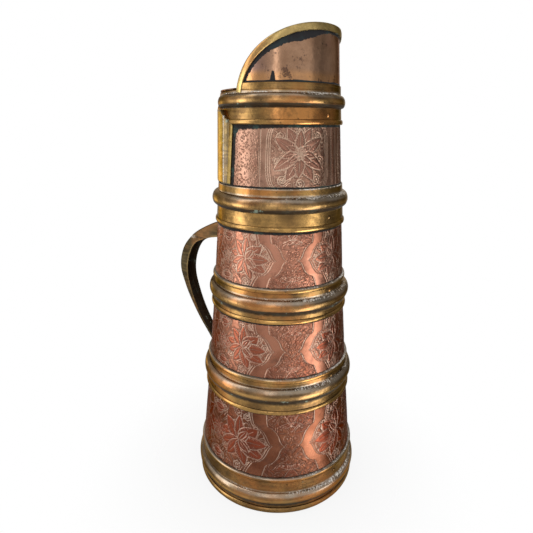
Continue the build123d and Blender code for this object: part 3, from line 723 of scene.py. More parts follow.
BRASS_HOOP = old_brass("brass_hoop", (0.105, 0.06, 0.027), (0.325, 0.182, 0.066), (0.66, 0.39, 0.125), 0.22)
BRASS_MOULDING = old_brass("brass_moulding", (0.12, 0.072, 0.036), (0.30, 0.175, 0.074),
                           (0.66, 0.39, 0.135), 0.23)
BRASS_BRIGHT = old_brass("brass_bright", (0.17, 0.112, 0.04), (0.38, 0.25, 0.085), (0.78, 0.54, 0.19), 0.24,
                         streak=0.5, glance=GOLD_GLANCE)
BRASS_HANDLE = old_brass("brass_handle", (0.036, 0.027, 0.015), (0.056, 0.043, 0.024),
                         (0.25, 0.175, 0.075), 0.36)
BRASS_EDGE = old_brass("brass_edge", (0.17, 0.13, 0.055), (0.36, 0.27, 0.105), (0.74, 0.52, 0.20), 0.26,
                       streak=0.35)
BRASS_DARK = old_brass("brass_dark", (0.12, 0.085, 0.04), (0.25, 0.18, 0.08), (0.45, 0.32, 0.13), 0.4)
print("brass finishes ready")

# %% [markdown]
# ## Hoops
#
# A hoop is a strip of brass with a bead rolled along its edge, wrapped over the joint of two
# drums and soldered. It could be a torus and a tube, but the bead and the strip are one sheet.
# So its section is drawn once as offset and height, and turned round the slope of the copper.
# Slow waves of a few tenths of a millimetre make it hand-made. The marks rise in the corners:
# grime and painted shade under the moulding, a little grime over it, wear on the crest of a bead,
# solder with painted glints towards the right, and on the second hoop a painted highlight on the
# side that faces the front. The foot's hoop is kept duller and its face is painted darker, as
# grime and painted shade.

# %% Hoop sections
BEAD, FOOT_BEAD = (4.4, 1.3), (6.0, 2.0)
HOOPS = {"hoop_1": (376.7, 409.8, BEAD, None), "hoop_2": (286.8, 324.0, BEAD, None),
         "hoop_3": (201.5, 235.1, BEAD, BEAD), "hoop_4": (110.1, 146.8, BEAD, BEAD),
         "hoop_5": (0.0, 40.3, FOOT_BEAD, BEAD)}
MOULDINGS = {"moulding_1": (396.3, 11.0, 3.9), "moulding_2": (310.0, 13.5, 5.1),
             "moulding_3": (218.5, 13.0, 4.6), "moulding_4": (130.0, 14.0, 4.3),
             "moulding_5": (16.8, 12.8, 3.6)}
RING_COLUMNS = 360
BEVEL, HOOP_ROW = 0.3, 0.9


def bead_line(bottom, height, proud, count=11):
    """Half round from the bottom up: height by a half turn, offset from the hoop's face by a half sine."""
    t = np.linspace(0, math.pi, count)
    return np.stack([HOOP_BACK + proud * np.sin(t) ** 0.85, bottom + height * (1 - np.cos(t)) / 2], axis=1)


def hoop_section(bottom, top, low_bead=None, high_bead=None):
    """Closed section of a hoop, offset and height: the face with its beads going up, the back down."""
    start, end = bottom, top
    low_rows = [[HOOP_BACK - BEVEL, bottom], [HOOP_BACK, bottom + BEVEL]]
    high_rows = [[HOOP_BACK, top - BEVEL], [HOOP_BACK - BEVEL, top]]
    if low_bead:
        start = bottom + low_bead[0]
        low_rows = bead_line(bottom, *low_bead)
    if high_bead:
        end = top - high_bead[0]
        high_rows = bead_line(end, *high_bead)
    levels = np.arange(start + 0.7, end - 0.5, HOOP_ROW)
    face = np.stack([np.full(len(levels), HOOP_BACK), levels], axis=1)
    back = [[SOLDER, top], [SOLDER, (bottom + top) / 2], [SOLDER, bottom]]
    return np.concatenate([low_rows, face, high_rows, back])


print("a hoop's section has", len(hoop_section(*HOOPS["hoop_3"])), "points")

# %% Marks of a hoop
LOWER_HOOPS, NECK_JOINT, FOOT_JOINT = 230.0, 390.0, 30.0
NARROW_GRIME_AND_SHADE, WIDE_GRIME_AND_SHADE = 2.4, 6.4
FRONT_HIGHLIGHT = 0.34
FOOT_WEAR, FOOT_GRIME_AND_SHADE = 0.3, 0.4
FRONT, RIGHT = math.radians(-45), math.radians(5)


def facing(angle, towards):
    """Share from 0 to 1 by which an angle faces a direction: half of one plus the cosine between them."""
    return 0.5 + 0.5 * np.cos(angle - towards)


def hoop_marks(section, angle, middle, height, seed):
    """Marks of one hoop: wear and painted highlight, grime and painted shade by the moulding, solder and
    glint above it.
    """
    offset, z = section[:, :1], section[:, 1:]
    bottom, top = z.min(), z.max()
    ragged = 0.8 * wave(angle, z, seed, 2.0) + 0.5 * speckle(angle, z, seed)
    away = np.abs(z - middle) - height / 2
    # Below the moulding the hoop is painted dark, wider on the lower hoops: grime and painted shade.
    below = NARROW_GRIME_AND_SHADE if middle > LOWER_HOOPS else WIDE_GRIME_AND_SHADE
    reach = np.where(z < middle, below * (1 + 0.2 * ragged), 0.7)
    grime = near(away, -0.5, reach) * np.where(z < middle, 0.9, 0.2)
    grime = np.maximum(grime, 0.55 * near(np.minimum(z - bottom, top - z), 0.0, 0.7))
    worn = step(offset, HOOP_BACK + 0.25, HOOP_BACK + 1.0) * (0.56 + 0.4 * wave(angle, z, seed + 2, 2.0))
    # Painted highlight: the second hoop is made brighter on the side that faces the front, towards the
    # camera.
    front_highlight = FRONT_HIGHLIGHT if LOWER_HOOPS < middle < NECK_JOINT else 0.0
    rubbing_and_front_highlight = 0.2 + 0.5 * wave(angle, 0.0, seed + 5.0, 2.0) + front_highlight * facing(angle, FRONT) ** 6
    worn = np.clip(np.maximum(worn, rubbing_and_front_highlight), 0, 1)
    # The foot's hoop wears less, and its flat face is painted darker: grime and painted shade.
    if middle < FOOT_JOINT:
        worn, grime = worn * FOOT_WEAR, np.maximum(grime, FOOT_GRIME_AND_SHADE * (offset < HOOP_BACK + 0.4))
    # Solder is weighted to the right side: real solder, with painted glints where the light catches it.
    right_side = facing(angle, RIGHT)
    pale = 0.55 if middle > NECK_JOINT else 0.34
    solder = near(away, 0.3, 2.4 + ragged) * (z > middle) * (pale + 0.36 * right_side)
    if middle < NECK_JOINT:
        solder = np.maximum(solder, near(top - z, 0.3, 1.5) * (0.34 + 0.4 * right_side))
    return {"worn": worn, "grime": grime, "solder": solder}


def build_hoop(name, seed):
    """A whole hoop: its section turned round the wall, the face moved by slow waves, the back true."""
    bottom, top, low_bead, high_bead = HOOPS[name]
    section = hoop_section(bottom, top, low_bead, high_bead)
    middle, height, _ = MOULDINGS[name.replace("hoop", "moulding")]
    angle = whole_turn(RING_COLUMNS)
    offset, z = section[:, :1], section[:, 1:]
    face = offset > SOLDER + 0.1
    free = face & (z > bottom + 0.01) if name == "hoop_5" else face
    uneven = face * (0.16 * wave(angle, z, seed) + 0.05 * wave(angle, z, seed + 1, 4.0))
    raised = z + free * 0.22 * wave(angle, 0.0, seed + 3.0)
    marks = hoop_marks(section, angle, middle, height, seed)
    grid = around(angle, wall(z) + offset + uneven, raised)
    piece(name + "_brass", grid, marks, BRASS_HOOP, name, "brass_hoop")


for number in range(2, 6):
    build_hoop(f"hoop_{number}", number)

# %% [markdown]
# ## The top hoop, cut for the jacket
#
# The top hoop stops on both sides of the handle, where the jacket takes over, and its ends are
# cut on a slant. The same section is used, but each row of the grid now has its own reach: the
# angle at which that height ends. The part above the mouth is shorter still, and is a second
# shell in the same mesh.

# %% Top hoop
REACH_Z = [376.3, 388.6, 389.4]
REACH = [103.5, 120.5, 139.7]
MOUTH_Z = 404.4
MOUTH_REACH = 94.0


def build_top_hoop(seed=7.0):
    """Two shells in one mesh: the slant-cut strip, and the short strip that stands above the mouth."""
    bottom, top, low_bead, _ = HOOPS["hoop_1"]
    middle, height, _ = MOULDINGS["moulding_1"]
    across = np.linspace(-1, 1, RING_COLUMNS)[None, :]
    grids, all_marks = [], []
    strip, collar = hoop_section(bottom, MOUTH_Z, low_bead), hoop_section(MOUTH_Z - 0.2, top)
    for section, reach in [(strip, np.interp(strip[:, 1:], REACH_Z, REACH)),
                           (collar, np.full((len(collar), 1), MOUTH_REACH))]:
        offset, z = section[:, :1], section[:, 1:]
        angle = np.radians(reach) * across
        uneven = (offset > SOLDER + 0.1) * 0.14 * wave(angle, z, seed)
        grids.append(around(angle, wall(z) + offset + uneven, z))
        marks = hoop_marks(section, angle, middle, height, seed)
        # Ends beside the jacket painted dark: grime and painted shadow between hoop and jacket.
        marks["grime"] = np.maximum(marks["grime"], 0.8 * near(reach - np.degrees(np.abs(angle)), 0.3, 1.4))
        all_marks.append(marks)
    shells("hoop_1_brass", grids, all_marks, BRASS_HOOP, "hoop_1", "brass_hoop",
           close_columns=False, ends=True)


build_top_hoop()

# %% [markdown]
# ## Mouldings
#
# Each moulding is a half-round bar bent round the hoop and soldered along its upper edge. It
# takes every knock, so it waves more than the hoop. A band just below its middle is painted
# bright, partly as rubbing and partly as a painted highlight, its underside is painted dark,
# partly as grime and partly as painted shade, and grey solder still lies along the top.

# %% Mouldings
MOULDING_BACK = HOOP_BACK + SOLDER
TOP_REACH, ROUNDED_END = 139.5, 6.0
MOULDING_ROWS = 22
FIRST_SEED = 11
LEAN = 0.075
MOULDING_RIGHT = math.radians(-5)


def build_moulding(name, seed, reach=180.0):
    """Half round swept round the hoop, from -reach to reach degrees, with rounded ends."""
    middle, height, proud = MOULDINGS[name]
    whole = reach >= 180.0
    t = np.linspace(-math.pi / 2, math.pi / 2, MOULDING_ROWS)
    turn = np.concatenate([t, [math.pi / 2, 0, -math.pi / 2]])[:, None]
    out = np.concatenate([proud * np.cos(t) ** 0.9, np.zeros(3)])[:, None]
    z = middle + height / 2 * np.sin(turn)
    angle = np.radians(np.linspace(-reach, reach, RING_COLUMNS, endpoint=not whole))[None, :]
    to_end = 1.0 if whole else np.clip((reach - np.abs(np.degrees(angle))) / ROUNDED_END, 0.04, 1)
    out = out * np.sqrt(1 - (1 - to_end) ** 2)
    face = out > 0.2
    uneven = face * (0.30 * wave(angle, z, seed) + 0.12 * wave(angle, z, seed + 1, 4.0))
    raised = z + face * 0.35 * wave(angle, 0.0, seed + 2)
    points = around(angle, wall(middle) - (z - middle) * LEAN + MOULDING_BACK + out + uneven, raised)
    ragged = 0.5 * wave(angle, z, seed + 4, 3.0) + 0.35 * speckle(angle, z, seed)
    high, side = np.sin(turn), facing(angle, MOULDING_RIGHT)
    # Solder along the top, weighted to the right: real solder, with painted glints there.
    solder = step(high, 0.30 - 0.2 * side - 0.16 * ragged, 0.98) * (0.16 + 0.56 * side ** 1.5)
    # Underside painted dark: grime and painted shade. Band below the middle painted bright: wear and painted
    # highlight.
    grime = 0.85 * step(-high, 0.30 - 0.06 * ragged, 0.62)
    worn = near(np.abs(high + 0.14), 0.06, 0.34) * (0.75 + 0.5 * wave(angle, 0.0, seed + 6, 2.0))
    marks = {"solder": solder, "grime": grime, "worn": np.clip(worn, 0, 1)}
    piece(name + "_brass", points, marks, BRASS_MOULDING, name, "brass_moulding", close_columns=whole,
          ends=not whole)


for seed, name in enumerate(MOULDINGS, start=FIRST_SEED):
    build_moulding(name, seed, TOP_REACH if name == "moulding_1" else 180.0)

# %% [markdown]
# ## The hood and its folded edge
#
# Over the top hoop the copper goes on as a tall lip, like the front of a helmet. Its edge is a
# strip of brass folded over the raw copper. The lip's line is one formula of the angle, so the
# hood can be a grid whose top row follows it, and the strip a section carried along it. Under
# the strip the copper is painted black in a ragged band.

# %% The lip's line
LIP_END_Z, LIP_RISE, LIP_HALF = 402.4, 53.4, math.radians(99.8)
HOOD_R = 51.6
LINE_POINTS, EDGE_COLUMNS = 240, 220


def lip_height(angle):
    """Height of the lip at an angle: end height + rise times (1 - (angle / half)^2.5)^(1 / 1.75)."""
    share = np.clip(np.abs(angle) / LIP_HALF, 0, 1)
    return LIP_END_Z + LIP_RISE * (1 - share ** 2.5) ** (1 / 1.75)


def lip_line(count):
    """Even points along the lip in a flat picture of the wall, and the direction down from the edge."""
    ease = LIP_HALF * np.sin(np.linspace(-math.pi / 2, math.pi / 2, 6 * count))
    x, z = ease * HOOD_R, lip_height(ease)
    length = np.concatenate([[0], np.cumsum(np.hypot(np.diff(x), np.diff(z)))])
    even = np.linspace(0, length[-1], count)
    x, z = np.interp(even, length, x), np.interp(even, length, z)
    dx, dz = np.gradient(x), np.gradient(z)
    size = np.hypot(dx, dz)
    return x, z, dz / size, -dx / size


def below_edge(angle, z):
    """Distance in the flat picture from points on the wall to the nearest point of the lip's line."""
    line_x, line_z, _, _ = lip_line(LINE_POINTS)
    best = np.inf
    for x, height in zip(line_x, line_z):
        best = np.minimum(best, (angle * HOOD_R - x) ** 2 + (z - height) ** 2)
    return np.sqrt(best)


print("the lip rises from", LIP_END_Z, "to", round(LIP_END_Z + LIP_RISE, 1), "mm")

# %% [markdown]
# Plain copper is a simpler finish than the chased one: a brown that drifts towards pink, faint
# marks of the planishing hammer, dark pits low down, and the black band that the mark patina
# describes. Two more marks colour the hood: warmth, a golden band just above the top hoop, and
# flank, a rosy grey at both sides.

# %% Recipe for plain copper
FLANK_PINK = (0.40, 0.235, 0.21)
WARM_COPPER = (0.60, 0.30, 0.12)
PIT_BLACK = (0.05, 0.028, 0.026)
ROSY_COPPER = (0.58, 0.26, 0.2)
BAND_BLACK = (0.016, 0.018, 0.021), (0.02, 0.034, 0.037)


def plain_copper(name, dark, light):
    """Smooth aged copper with pits, cloudy tarnish and black where the mark patina is high."""
    f = Finish(name, 0.2)
    cloud, fine, warmth = f.noise(30.0, 5.0, 0.7), f.noise(260.0), f.mark("warmth")
    upright = f.noise(30.0, 3.0, 0.6, place=f.stretched(1.0, 0.12))
    f.colour = f.blend(f.rise(cloud, 0.3, 0.7), dark, light)
    f.paint(f.rise(upright, 0.5, 0.65), light, 0.4)
    f.paint(f.times(f.mark("flank"), f.between(cloud, 0.3, 1.1)), FLANK_PINK)
    f.paint(f.times(warmth, f.between(upright, 0.2, 1.3)), WARM_COPPER)
    pitted = f.plus(f.noise(115.0, 5.0, 0.75), f.times(warmth, 0.035))
    f.paint(f.rise(pitted, 0.585, 0.65), PIT_BLACK, 0.8)
    f.paint(f.rise(f.noise(64.0, 5.0, 0.8, 0.6), 0.50, 0.62), dark, 0.3)
    f.paint(f.patches(18.0, 0.5, 0.68, 2.0), ROSY_COPPER, 0.3)
    black_band = f.frayed(f.mark("patina"), fine, 0.15, 0.4, 0.6)
    f.paint(black_band, f.blend(f.patches(60.0, 0.55, 0.72), *BAND_BLACK))
    rough = f.plus(f.between(cloud, 0.26, 0.12), f.times(black_band, 0.4))
    beaten = f.bump(f.noise(60.0), 0.5, 0.0009)
    return f.done(COPPER_GLANCE, f.between(black_band, 1.0, 0.2), rough, f.bump(fine, 0.08, 0.0003, beaten))


COPPER_PLAIN = plain_copper("copper_plain", (0.28, 0.155, 0.092), (0.47, 0.28, 0.175))
COPPER_INSIDE = plain_copper("copper_inside", (0.10, 0.06, 0.045), (0.2, 0.12, 0.085))
print("finishes:", COPPER_PLAIN.name, COPPER_INSIDE.name)

# %% Hood
HOOD_COLUMNS, HOOD_ROWS, HOOD_INSIDE_ROWS = 440, 90, 24
HOOD_BOTTOM, HOOP_TOP = 396.3, 409.8
EDGE_WIDTH = 5.8
BAND_ANGLES = [-100, -88, -65, -38, -22, -5, 20, 60, 100]
BAND_WIDTHS = [0.7, 1.6, 4.6, 6.0, 4.2, 1.6, 2.2, 4.5, 2.5]
DRIP_ANGLE, DRIP_TOP = -63.0, 419.0


def hood_patina(angle, z):
    """Black of three kinds: the ragged band under the edge, a line above the hoop and one narrow drip."""
    width = np.interp(np.degrees(angle), BAND_ANGLES, BAND_WIDTHS) * (1 + 0.25 * wave(angle, z, 5.0, 2.0))
    reach = EDGE_WIDTH + width + 0.5 * speckle(angle, z, 4.0)
    under_edge_band = near(below_edge(angle, z), reach - 0.5, reach + 0.7)
    line = near(z - HOOP_TOP, 0.6, 2.3 + 0.9 * wave(angle, z, 8.0, 3.0))
    drip = np.exp(-((np.degrees(angle) - DRIP_ANGLE) / (1.0 + 0.25 * (DRIP_TOP - z))) ** 2)
    return np.maximum(np.maximum(under_edge_band, line), drip * near(z, DRIP_TOP - 1.5, DRIP_TOP))


def build_hood():
    """Outside rows from the joint up to the lip, then inside rows down again, closed all round."""
    angle = whole_turn(HOOD_COLUMNS)
    rise = np.maximum(MOUTH_Z, lip_height(angle) - 1.0) - HOOD_BOTTOM
    z = HOOD_BOTTOM + np.linspace(0, 1, HOOD_ROWS)[:, None] * rise
    z_in = HOOD_BOTTOM + np.linspace(1, 0, HOOD_INSIDE_ROWS)[:, None] * rise
    dents = 0.22 * wave(angle, z, 21.0) * step(z, 408.0, 416.0)
    marks = {"patina": hood_patina(angle, z),
             "warmth": near(z - HOOP_TOP, 4.5, 11.0 + 2.5 * wave(angle, z, 6.0, 2.0)),
             "flank": 0.75 * step(np.abs(np.degrees(angle)) + 6 * wave(angle, z, 9.0, 2.0), 62.0, 84.0)}
    grid = [around(angle, wall(z) + dents, z), around(angle, wall(z_in) - COPPER, z_in)]
    piece("hood_copper", np.concatenate(grid), marks, COPPER_PLAIN, "hood", "copper_plain")


build_hood()

# %% Folded edge
EDGE_SECTION = np.array([[5.8, 0.15], [5.75, 1.2], [5.3, 1.72], [4.2, 1.84], [2.8, 1.9], [1.4, 1.84],
                         [0.5, 1.6], [0.05, 1.05], [-0.1, 0.3], [-0.12, -0.6], [0.0, -1.3], [0.4, -1.8],
                         [1.4, -2.0], [3.0, -2.0], [4.6, -2.0], [5.5, -1.95], [5.8, -1.6], [5.8, -1.25]])
EDGE_LOWEST = 402.0


def build_edge():
    """Section of (distance down from the lip, offset from the copper) carried along the lip's line."""
    x, z, down_x, down_z = lip_line(EDGE_COLUMNS)
    down, offset = EDGE_SECTION[:, :1], EDGE_SECTION[:, 1:]
    wobble = 0.25 * np.sin(x * 0.21) + 0.15 * np.sin(x * 0.53 + 1.0)
    angle = (x + down_x * down) / HOOD_R
    height = np.maximum(z + down_z * (down + 0.25 * wobble * (down > 3)), EDGE_LOWEST)
    points = around(angle, wall(height) + offset + 0.12 * wobble * (offset > 0), height)
    # The wear mark is rubbing plus, low on the lip, a painted highlight; the strip's bottom face is painted
    # dark as grime and painted shade.
    rubbed = 0.34 + 0.3 * wave(angle, height, 3.0, 2.0)
    rubbed = rubbed + 0.3 * step(height, 425.0, 445.0) + 0.45 * near(height, 412.0, 426.0)
    marks = {"worn": np.clip(rubbed, 0, 1), "grime": 0.7 * (down > 5.6)}
    piece("hood_edge_brass", points, marks, BRASS_EDGE, "hood_edge", "brass_bright",
          close_columns=False, ends=True)


build_edge()

# %% [markdown]
# ## The jacket behind the mouth
#
# The back of the neck wears a box of sheet brass, nearly upright, with a flange soldered to the
# copper on each side. It stiffens the neck where the lid hinges. It is one sheet, so it is one
# height field: how far the metal stands off the copper, as a function of the angle from the
# back and of the height, with the corners rounded as a fold rounds them.

# %% Jacket
JACKET_BOTTOM, JACKET_SHOULDER, JACKET_EAR = 325.0, 389.0, 376.0
JACKET_Z, JACKET_R = [325.0, 389.0, 404.4], [61.2, 59.6, 56.4]
FLANGE_END, FOLD_LINE, INNER_FOLD = 76.5, 66.4, 69.4
BOX_END, BOX_FOOT = 71.0, 2.6
# Turns from the back at which a painted highlight is laid on the box and on the flange edge.
BOX_HIGHLIGHT, FLANGE_HIGHLIGHT = 52.0, 74.0
WIPED_FROM = 399.0
JACKET_TURNS = [(-76.5, -71.6, 12), (-71.5, -70.2, 12), (-69.8, -40.8, 80), (-40.6, -39.4, 8),
                (-39.0, 0, 60)]
JACKET_ROWS = [(0, 0.05, 8), (0.07, 0.93, 60), (0.95, 1.0, 8)]
TOP_TURN = [0, 39.7, 40.3, 59.5, FLANGE_END]
TOP_Z = [MOUTH_Z, MOUTH_Z, JACKET_SHOULDER, JACKET_SHOULDER, JACKET_EAR]


def build_jacket():
    """Front of the sheet as a height field over the turn from the back, then its back against the copper."""
    side = np.concatenate([np.linspace(*span) for span in JACKET_TURNS])
    turn = np.concatenate([side, -side[::-1][1:]])[None, :]
    away = np.abs(turn)
    height = np.interp(away, TOP_TURN, TOP_Z) - JACKET_BOTTOM
    z = JACKET_BOTTOM + np.concatenate([np.linspace(*span) for span in JACKET_ROWS])[:, None] * height
    angle = np.radians(180 + turn)
    fold = near(away, BOX_END - 0.65, BOX_END + 0.35)
    foot = np.sqrt(1 - (1 - np.clip((z - JACKET_BOTTOM) / BOX_FOOT, 0, 1)) ** 2)
    flange = wall(z) + HOOP_BACK
    past_fold = np.clip((away - FOLD_LINE) / (BOX_END - FOLD_LINE), 0, 1)
    box = np.interp(z, JACKET_Z, JACKET_R) - 1.5 * past_fold
    stand = np.maximum(box - flange, 0) * (0.25 + 0.75 * foot)
    radius = flange + fold * (stand + 0.18 * wave(angle, z, 9.0))
    back_z = JACKET_BOTTOM + np.array([[1.0], [0.5], [0.0]]) * height
    points = np.concatenate([around(angle, radius, z), around(angle, wall(back_z) + SOLDER, back_z)])
    rubbed = wave(angle, z, 4.0)
    # Painted highlights on the wear mark: a broad band on the box near its outline and a narrow one on the
    # flange edge, partly wear.
    highlight_and_wear = np.maximum(near(np.abs(away - BOX_HIGHLIGHT), 5.0, 7.5), near(np.abs(away - FLANGE_HIGHLIGHT), 2.0, 2.7))
    seam, inner_fold = near(np.abs(away - FOLD_LINE), 0.3, 1.2), near(np.abs(away - INNER_FOLD), 1.8, 2.4)
    ragged = 0.6 * wave(angle, z, 2.0, 3.0) + 0.4 * speckle(angle, z, 6.0)
    low = 0.8 * near(z - JACKET_BOTTOM, 0.2, 1.6 + ragged)
    high = 0.6 * near(JACKET_BOTTOM + height - z, 0.5, 3.2 + ragged) * (z < JACKET_SHOULDER + 0.5)
    wiped = np.maximum(0.95 * seam, 0.2 * inner_fold) + 0.6 * (z > WIPED_FROM) * (0.7 + ragged)
    marks = {"worn": np.clip(np.maximum(highlight_and_wear * (0.95 + 0.2 * rubbed), 0.15 + 0.2 * rubbed), 0, 1),
             "grime": np.maximum(0.5 * inner_fold, np.maximum(low, high)), "solder": np.clip(wiped, 0, 1)}
    piece("neck_jacket_brass", points, marks, BRASS_BRIGHT, "neck_jacket", "brass_bright",
          close_columns=False, ends=True, sharp=50.0)


build_jacket()

# %% [markdown]
# ## The handle
#
# The handle is a strip folded to a channel and bent to an ear: deep and open towards the body
# at the top, shallow at the bottom. Two lines in side view, the back and the lips, hold all of
# that shape. The section is a U between them, so one sweep makes the handle with its changing
# depth, and a level cut parts it at the soldered seam into the short arm and the long grip.

# %% Handle lines and section
HANDLE_BACK = [(60.0, 281.0), (92.3, 269.0), (120.5, 252.5), (137.0, 233.5), (142.3, 212.0), (136.1, 189.6),
               (118.1, 157.1), (96.5, 128.6), (81.5, 106.0), (74.0, 92.0)]
HANDLE_LIPS = [(60.0, 259.0), (80.0, 256.5), (98.7, 251.7), (115.8, 243.5), (126.0, 228.0), (130.2, 208.0),
               (124.2, 180.0), (105.0, 145.0), (93.6, 130.6), (79.5, 109.5), (72.0, 95.5)]
HANDLE_COUNT = 170
HANDLE_SEAM = 251.7
HANDLE_HALF, HANDLE_SHEET, HANDLE_ROUND = 7.3, 1.2, 1.8
INSIDE_ROWS = [(-1, 1.0), (-1, 0.6), (-1, 0.3), (-0.8, 0.0), (-0.4, 0.0), (0.0, 0.0), (0.4, 0.0), (0.8, 0.0),
               (1, 0.3), (1, 0.6), (1, 1.0)]
CORNER_MARK = 0.15


def smooth_line(points, count):
    """Even points on a smooth line: each span is the cubic whose slopes come from its neighbours."""
    points = np.array(points)
    chord = np.concatenate([[0], np.cumsum(np.hypot(*np.diff(points, axis=0).T))])
    slope = np.gradient(points, chord, axis=0)
    at = np.linspace(0, chord[-1], count)
    span = np.clip(np.searchsorted(chord, at, side="right") - 1, 0, len(chord) - 2)
    width = (chord[span + 1] - chord[span])[:, None]
    t = ((at - chord[span]) / width[:, 0])[:, None]
    start, end = points[span], points[span + 1]
    return ((2 * t ** 3 - 3 * t ** 2 + 1) * start + (t ** 3 - 2 * t ** 2 + t) * width * slope[span]
            + (3 * t ** 2 - 2 * t ** 3) * end + (t ** 3 - t ** 2) * width * slope[span + 1])


def channel_rows():
    """Outside of the U from lip to lip, as rows of half-width, share of depth, drop in mm and lip mark."""
    bend = np.linspace(0, math.pi / 2, 7)
    lip = [(HANDLE_HALF, share, 0.0, share) for share in np.linspace(1.0, 0.2, 6)]
    corner = [(HANDLE_HALF - HANDLE_ROUND * (1 - math.cos(b)), 0.0, HANDLE_ROUND * (1 - math.sin(b)),
               CORNER_MARK) for b in bend]
    inmost = HANDLE_HALF - HANDLE_ROUND
    flat = [(y, 0.0, 0.0, 0.0) for y in np.linspace(inmost, -inmost, 7)[1:-1]]
    other = [(-y, share, drop, mark) for y, share, drop, mark in (lip + corner)[::-1]]
    return np.array(lip + corner + flat + other)


print("points along the handle:", HANDLE_COUNT, "points round its outside:", len(channel_rows()))


# %% Handle
def build_handle():
    """Grid with the section along one way and the length along the other, in the plane y = 0.

    A row of the section lies its drop below the back line, towards the lips; the inside rows lie at
    least one sheet's thickness below it. Points that would enter the copper are pushed out to it."""
    back, lips = smooth_line(HANDLE_BACK, HANDLE_COUNT), smooth_line(HANDLE_LIPS, HANDLE_COUNT)
    depth = np.hypot(*(lips - back).T)
    inward = (lips - back) / depth[:, None]
    narrow = 1 - 0.2 * step(np.linspace(0, 1, HANDLE_COUNT), 0.55, 1.0)
    y, share, drop, lip_mark = [column[:, None] for column in channel_rows().T]
    inner_y, inner_share = [column[:, None] for column in np.array(INSIDE_ROWS).T]
    y = np.concatenate([y, inner_y * (HANDLE_HALF - HANDLE_SHEET)]) * narrow
    drop = np.concatenate([depth * share + np.minimum(drop, depth * 0.2),
                           np.maximum(depth * inner_share, HANDLE_SHEET)])
    line = back + inward * drop[:, :, None]
    radius, z = line[..., 0], line[..., 1]
    y = y + 0.15 * np.sin(0.11 * z + 1.0) * (np.abs(y) > 6)
    points = np.stack([-radius, y, z], axis=-1)
    reach = np.hypot(radius, y)
    points[..., :2] *= np.maximum(1.0, (wall(z) + SOLDER) / np.maximum(reach, 1.0))[..., None]
    lip_mark = np.concatenate([lip_mark, np.full_like(inner_y, -1.0)])
    flat_rim = 0.35 * near(np.abs(y) - 5.0, 0.0, 1.5) * (lip_mark == 0)
    rubbed = np.clip(step(lip_mark, 0.85, 1.0) + flat_rim, 0, 1) * (lip_mark >= 0)
    seam = near(np.abs(z - HANDLE_SEAM), 0.5, 2.2)
    marks = {"worn": rubbed, "grime": np.maximum(0.95 * (lip_mark < 0), 0.55 * seam),
             "solder": 0.62 * seam * step(radius, 112, 118)}
    return points, marks


handle = build_handle()
open_sweep = {"close_columns": False, "ends": True}
piece("handle_arm_brass", *handle, BRASS_HANDLE, "handle_arm", "brass_handle",
      keep_above=HANDLE_SEAM, **open_sweep)
piece("handle_grip_brass", *handle, BRASS_HANDLE, "handle_grip", "brass_handle",
      keep_below=HANDLE_SEAM - SOLDER, **open_sweep)

# %% [markdown]
# ## The lid and its knob
#
# The lid is spun copper: a low dome inside a flat rim. Its back half lies on the neck and is a
# little wider than its front half, which drops inside the lip. Lathe work is a profile of
# radius and height turned about the axis, so that is how both it and the knob are made. Only
# the outermost rows of the lid know about the step between the two halves.

# %% Lid
LID_UNDER, LID_SHEET = 404.7, 1.5
LID_BACK, LID_FRONT, LID_DOME = 56.2, 49.6, 42.0
LID_STEP_X, LID_STEP_R = -11.5, 52.5
DOME_RISE = 6.5
LID_COLUMNS = 300
RIM_FALL = [0, 0, 0, 0, -0.05, -0.5]


def dome_height(radius, outer):
    """Rise of the dome at a radius: DOME_RISE times (1 - (r / outer)^2)^0.9, nearly a shallow ball."""
    return DOME_RISE * (1 - np.clip(radius / outer, 0, 1) ** 2) ** 0.9


def build_lid():
    """Top rows from the middle out to the rim, then the under side back to the middle."""
    step_turn = math.degrees(math.acos(LID_STEP_X / LID_STEP_R))
    steps = [sign * step_turn + nudge for sign in (1, -1) for nudge in (-0.05, 0.05)]
    turn = np.sort(np.concatenate([np.linspace(-180, 180, LID_COLUMNS, endpoint=False), steps]))[None, :]
    outer = np.where(np.abs(turn) > step_turn, LID_BACK, LID_FRONT)
    full = np.ones_like(outer)
    dome = np.linspace(0.0, 1, 30)[:, None] * LID_DOME * full
    rim = LID_DOME + np.linspace(0, 1, 7)[1:, None] * (outer - LID_DOME)
    hollow = np.linspace(1, 0.0, 16)[:, None] * (LID_DOME - LID_SHEET) * full
    radius = np.concatenate([dome, rim, outer - 0.05, hollow])
    z = np.concatenate([LID_SHEET + dome_height(dome, LID_DOME),
                        LID_SHEET + np.array(RIM_FALL)[:, None] * full,
                        0 * full, dome_height(hollow, LID_DOME - LID_SHEET)])
    marks = {"patina": 0.5 * near(np.abs(radius - LID_DOME), 0.3, 1.6)}
    piece("lid_plate_copper", around(np.radians(turn), radius, LID_UNDER + z), marks, COPPER_PLAIN,
          "lid_plate", "copper_lid", close_rows=False, body="lid")


build_lid()

# %% Knob
KNOB_COLUMNS = 96
CROWN = LID_UNDER + LID_SHEET + DOME_RISE
SEAT = CROWN + SOLDER
SHANK = [(0.0, -2.9), (3.9, -2.9), (4.5, -2.5), (4.5, -1.75), (2.5, -1.7)]
FOOT = [(2.5, 0.0), (7.2, 0.0), (7.5, 0.4), (7.5, 1.1), (7.0, 1.6), (6.2, 1.8), (5.6, 2.6), (4.6, 4.2),
        (3.9, 5.8), (3.6, 7.0)]
BALL_R, BALL_UP, TIP_UP = 7.0, 14.0, 21.0


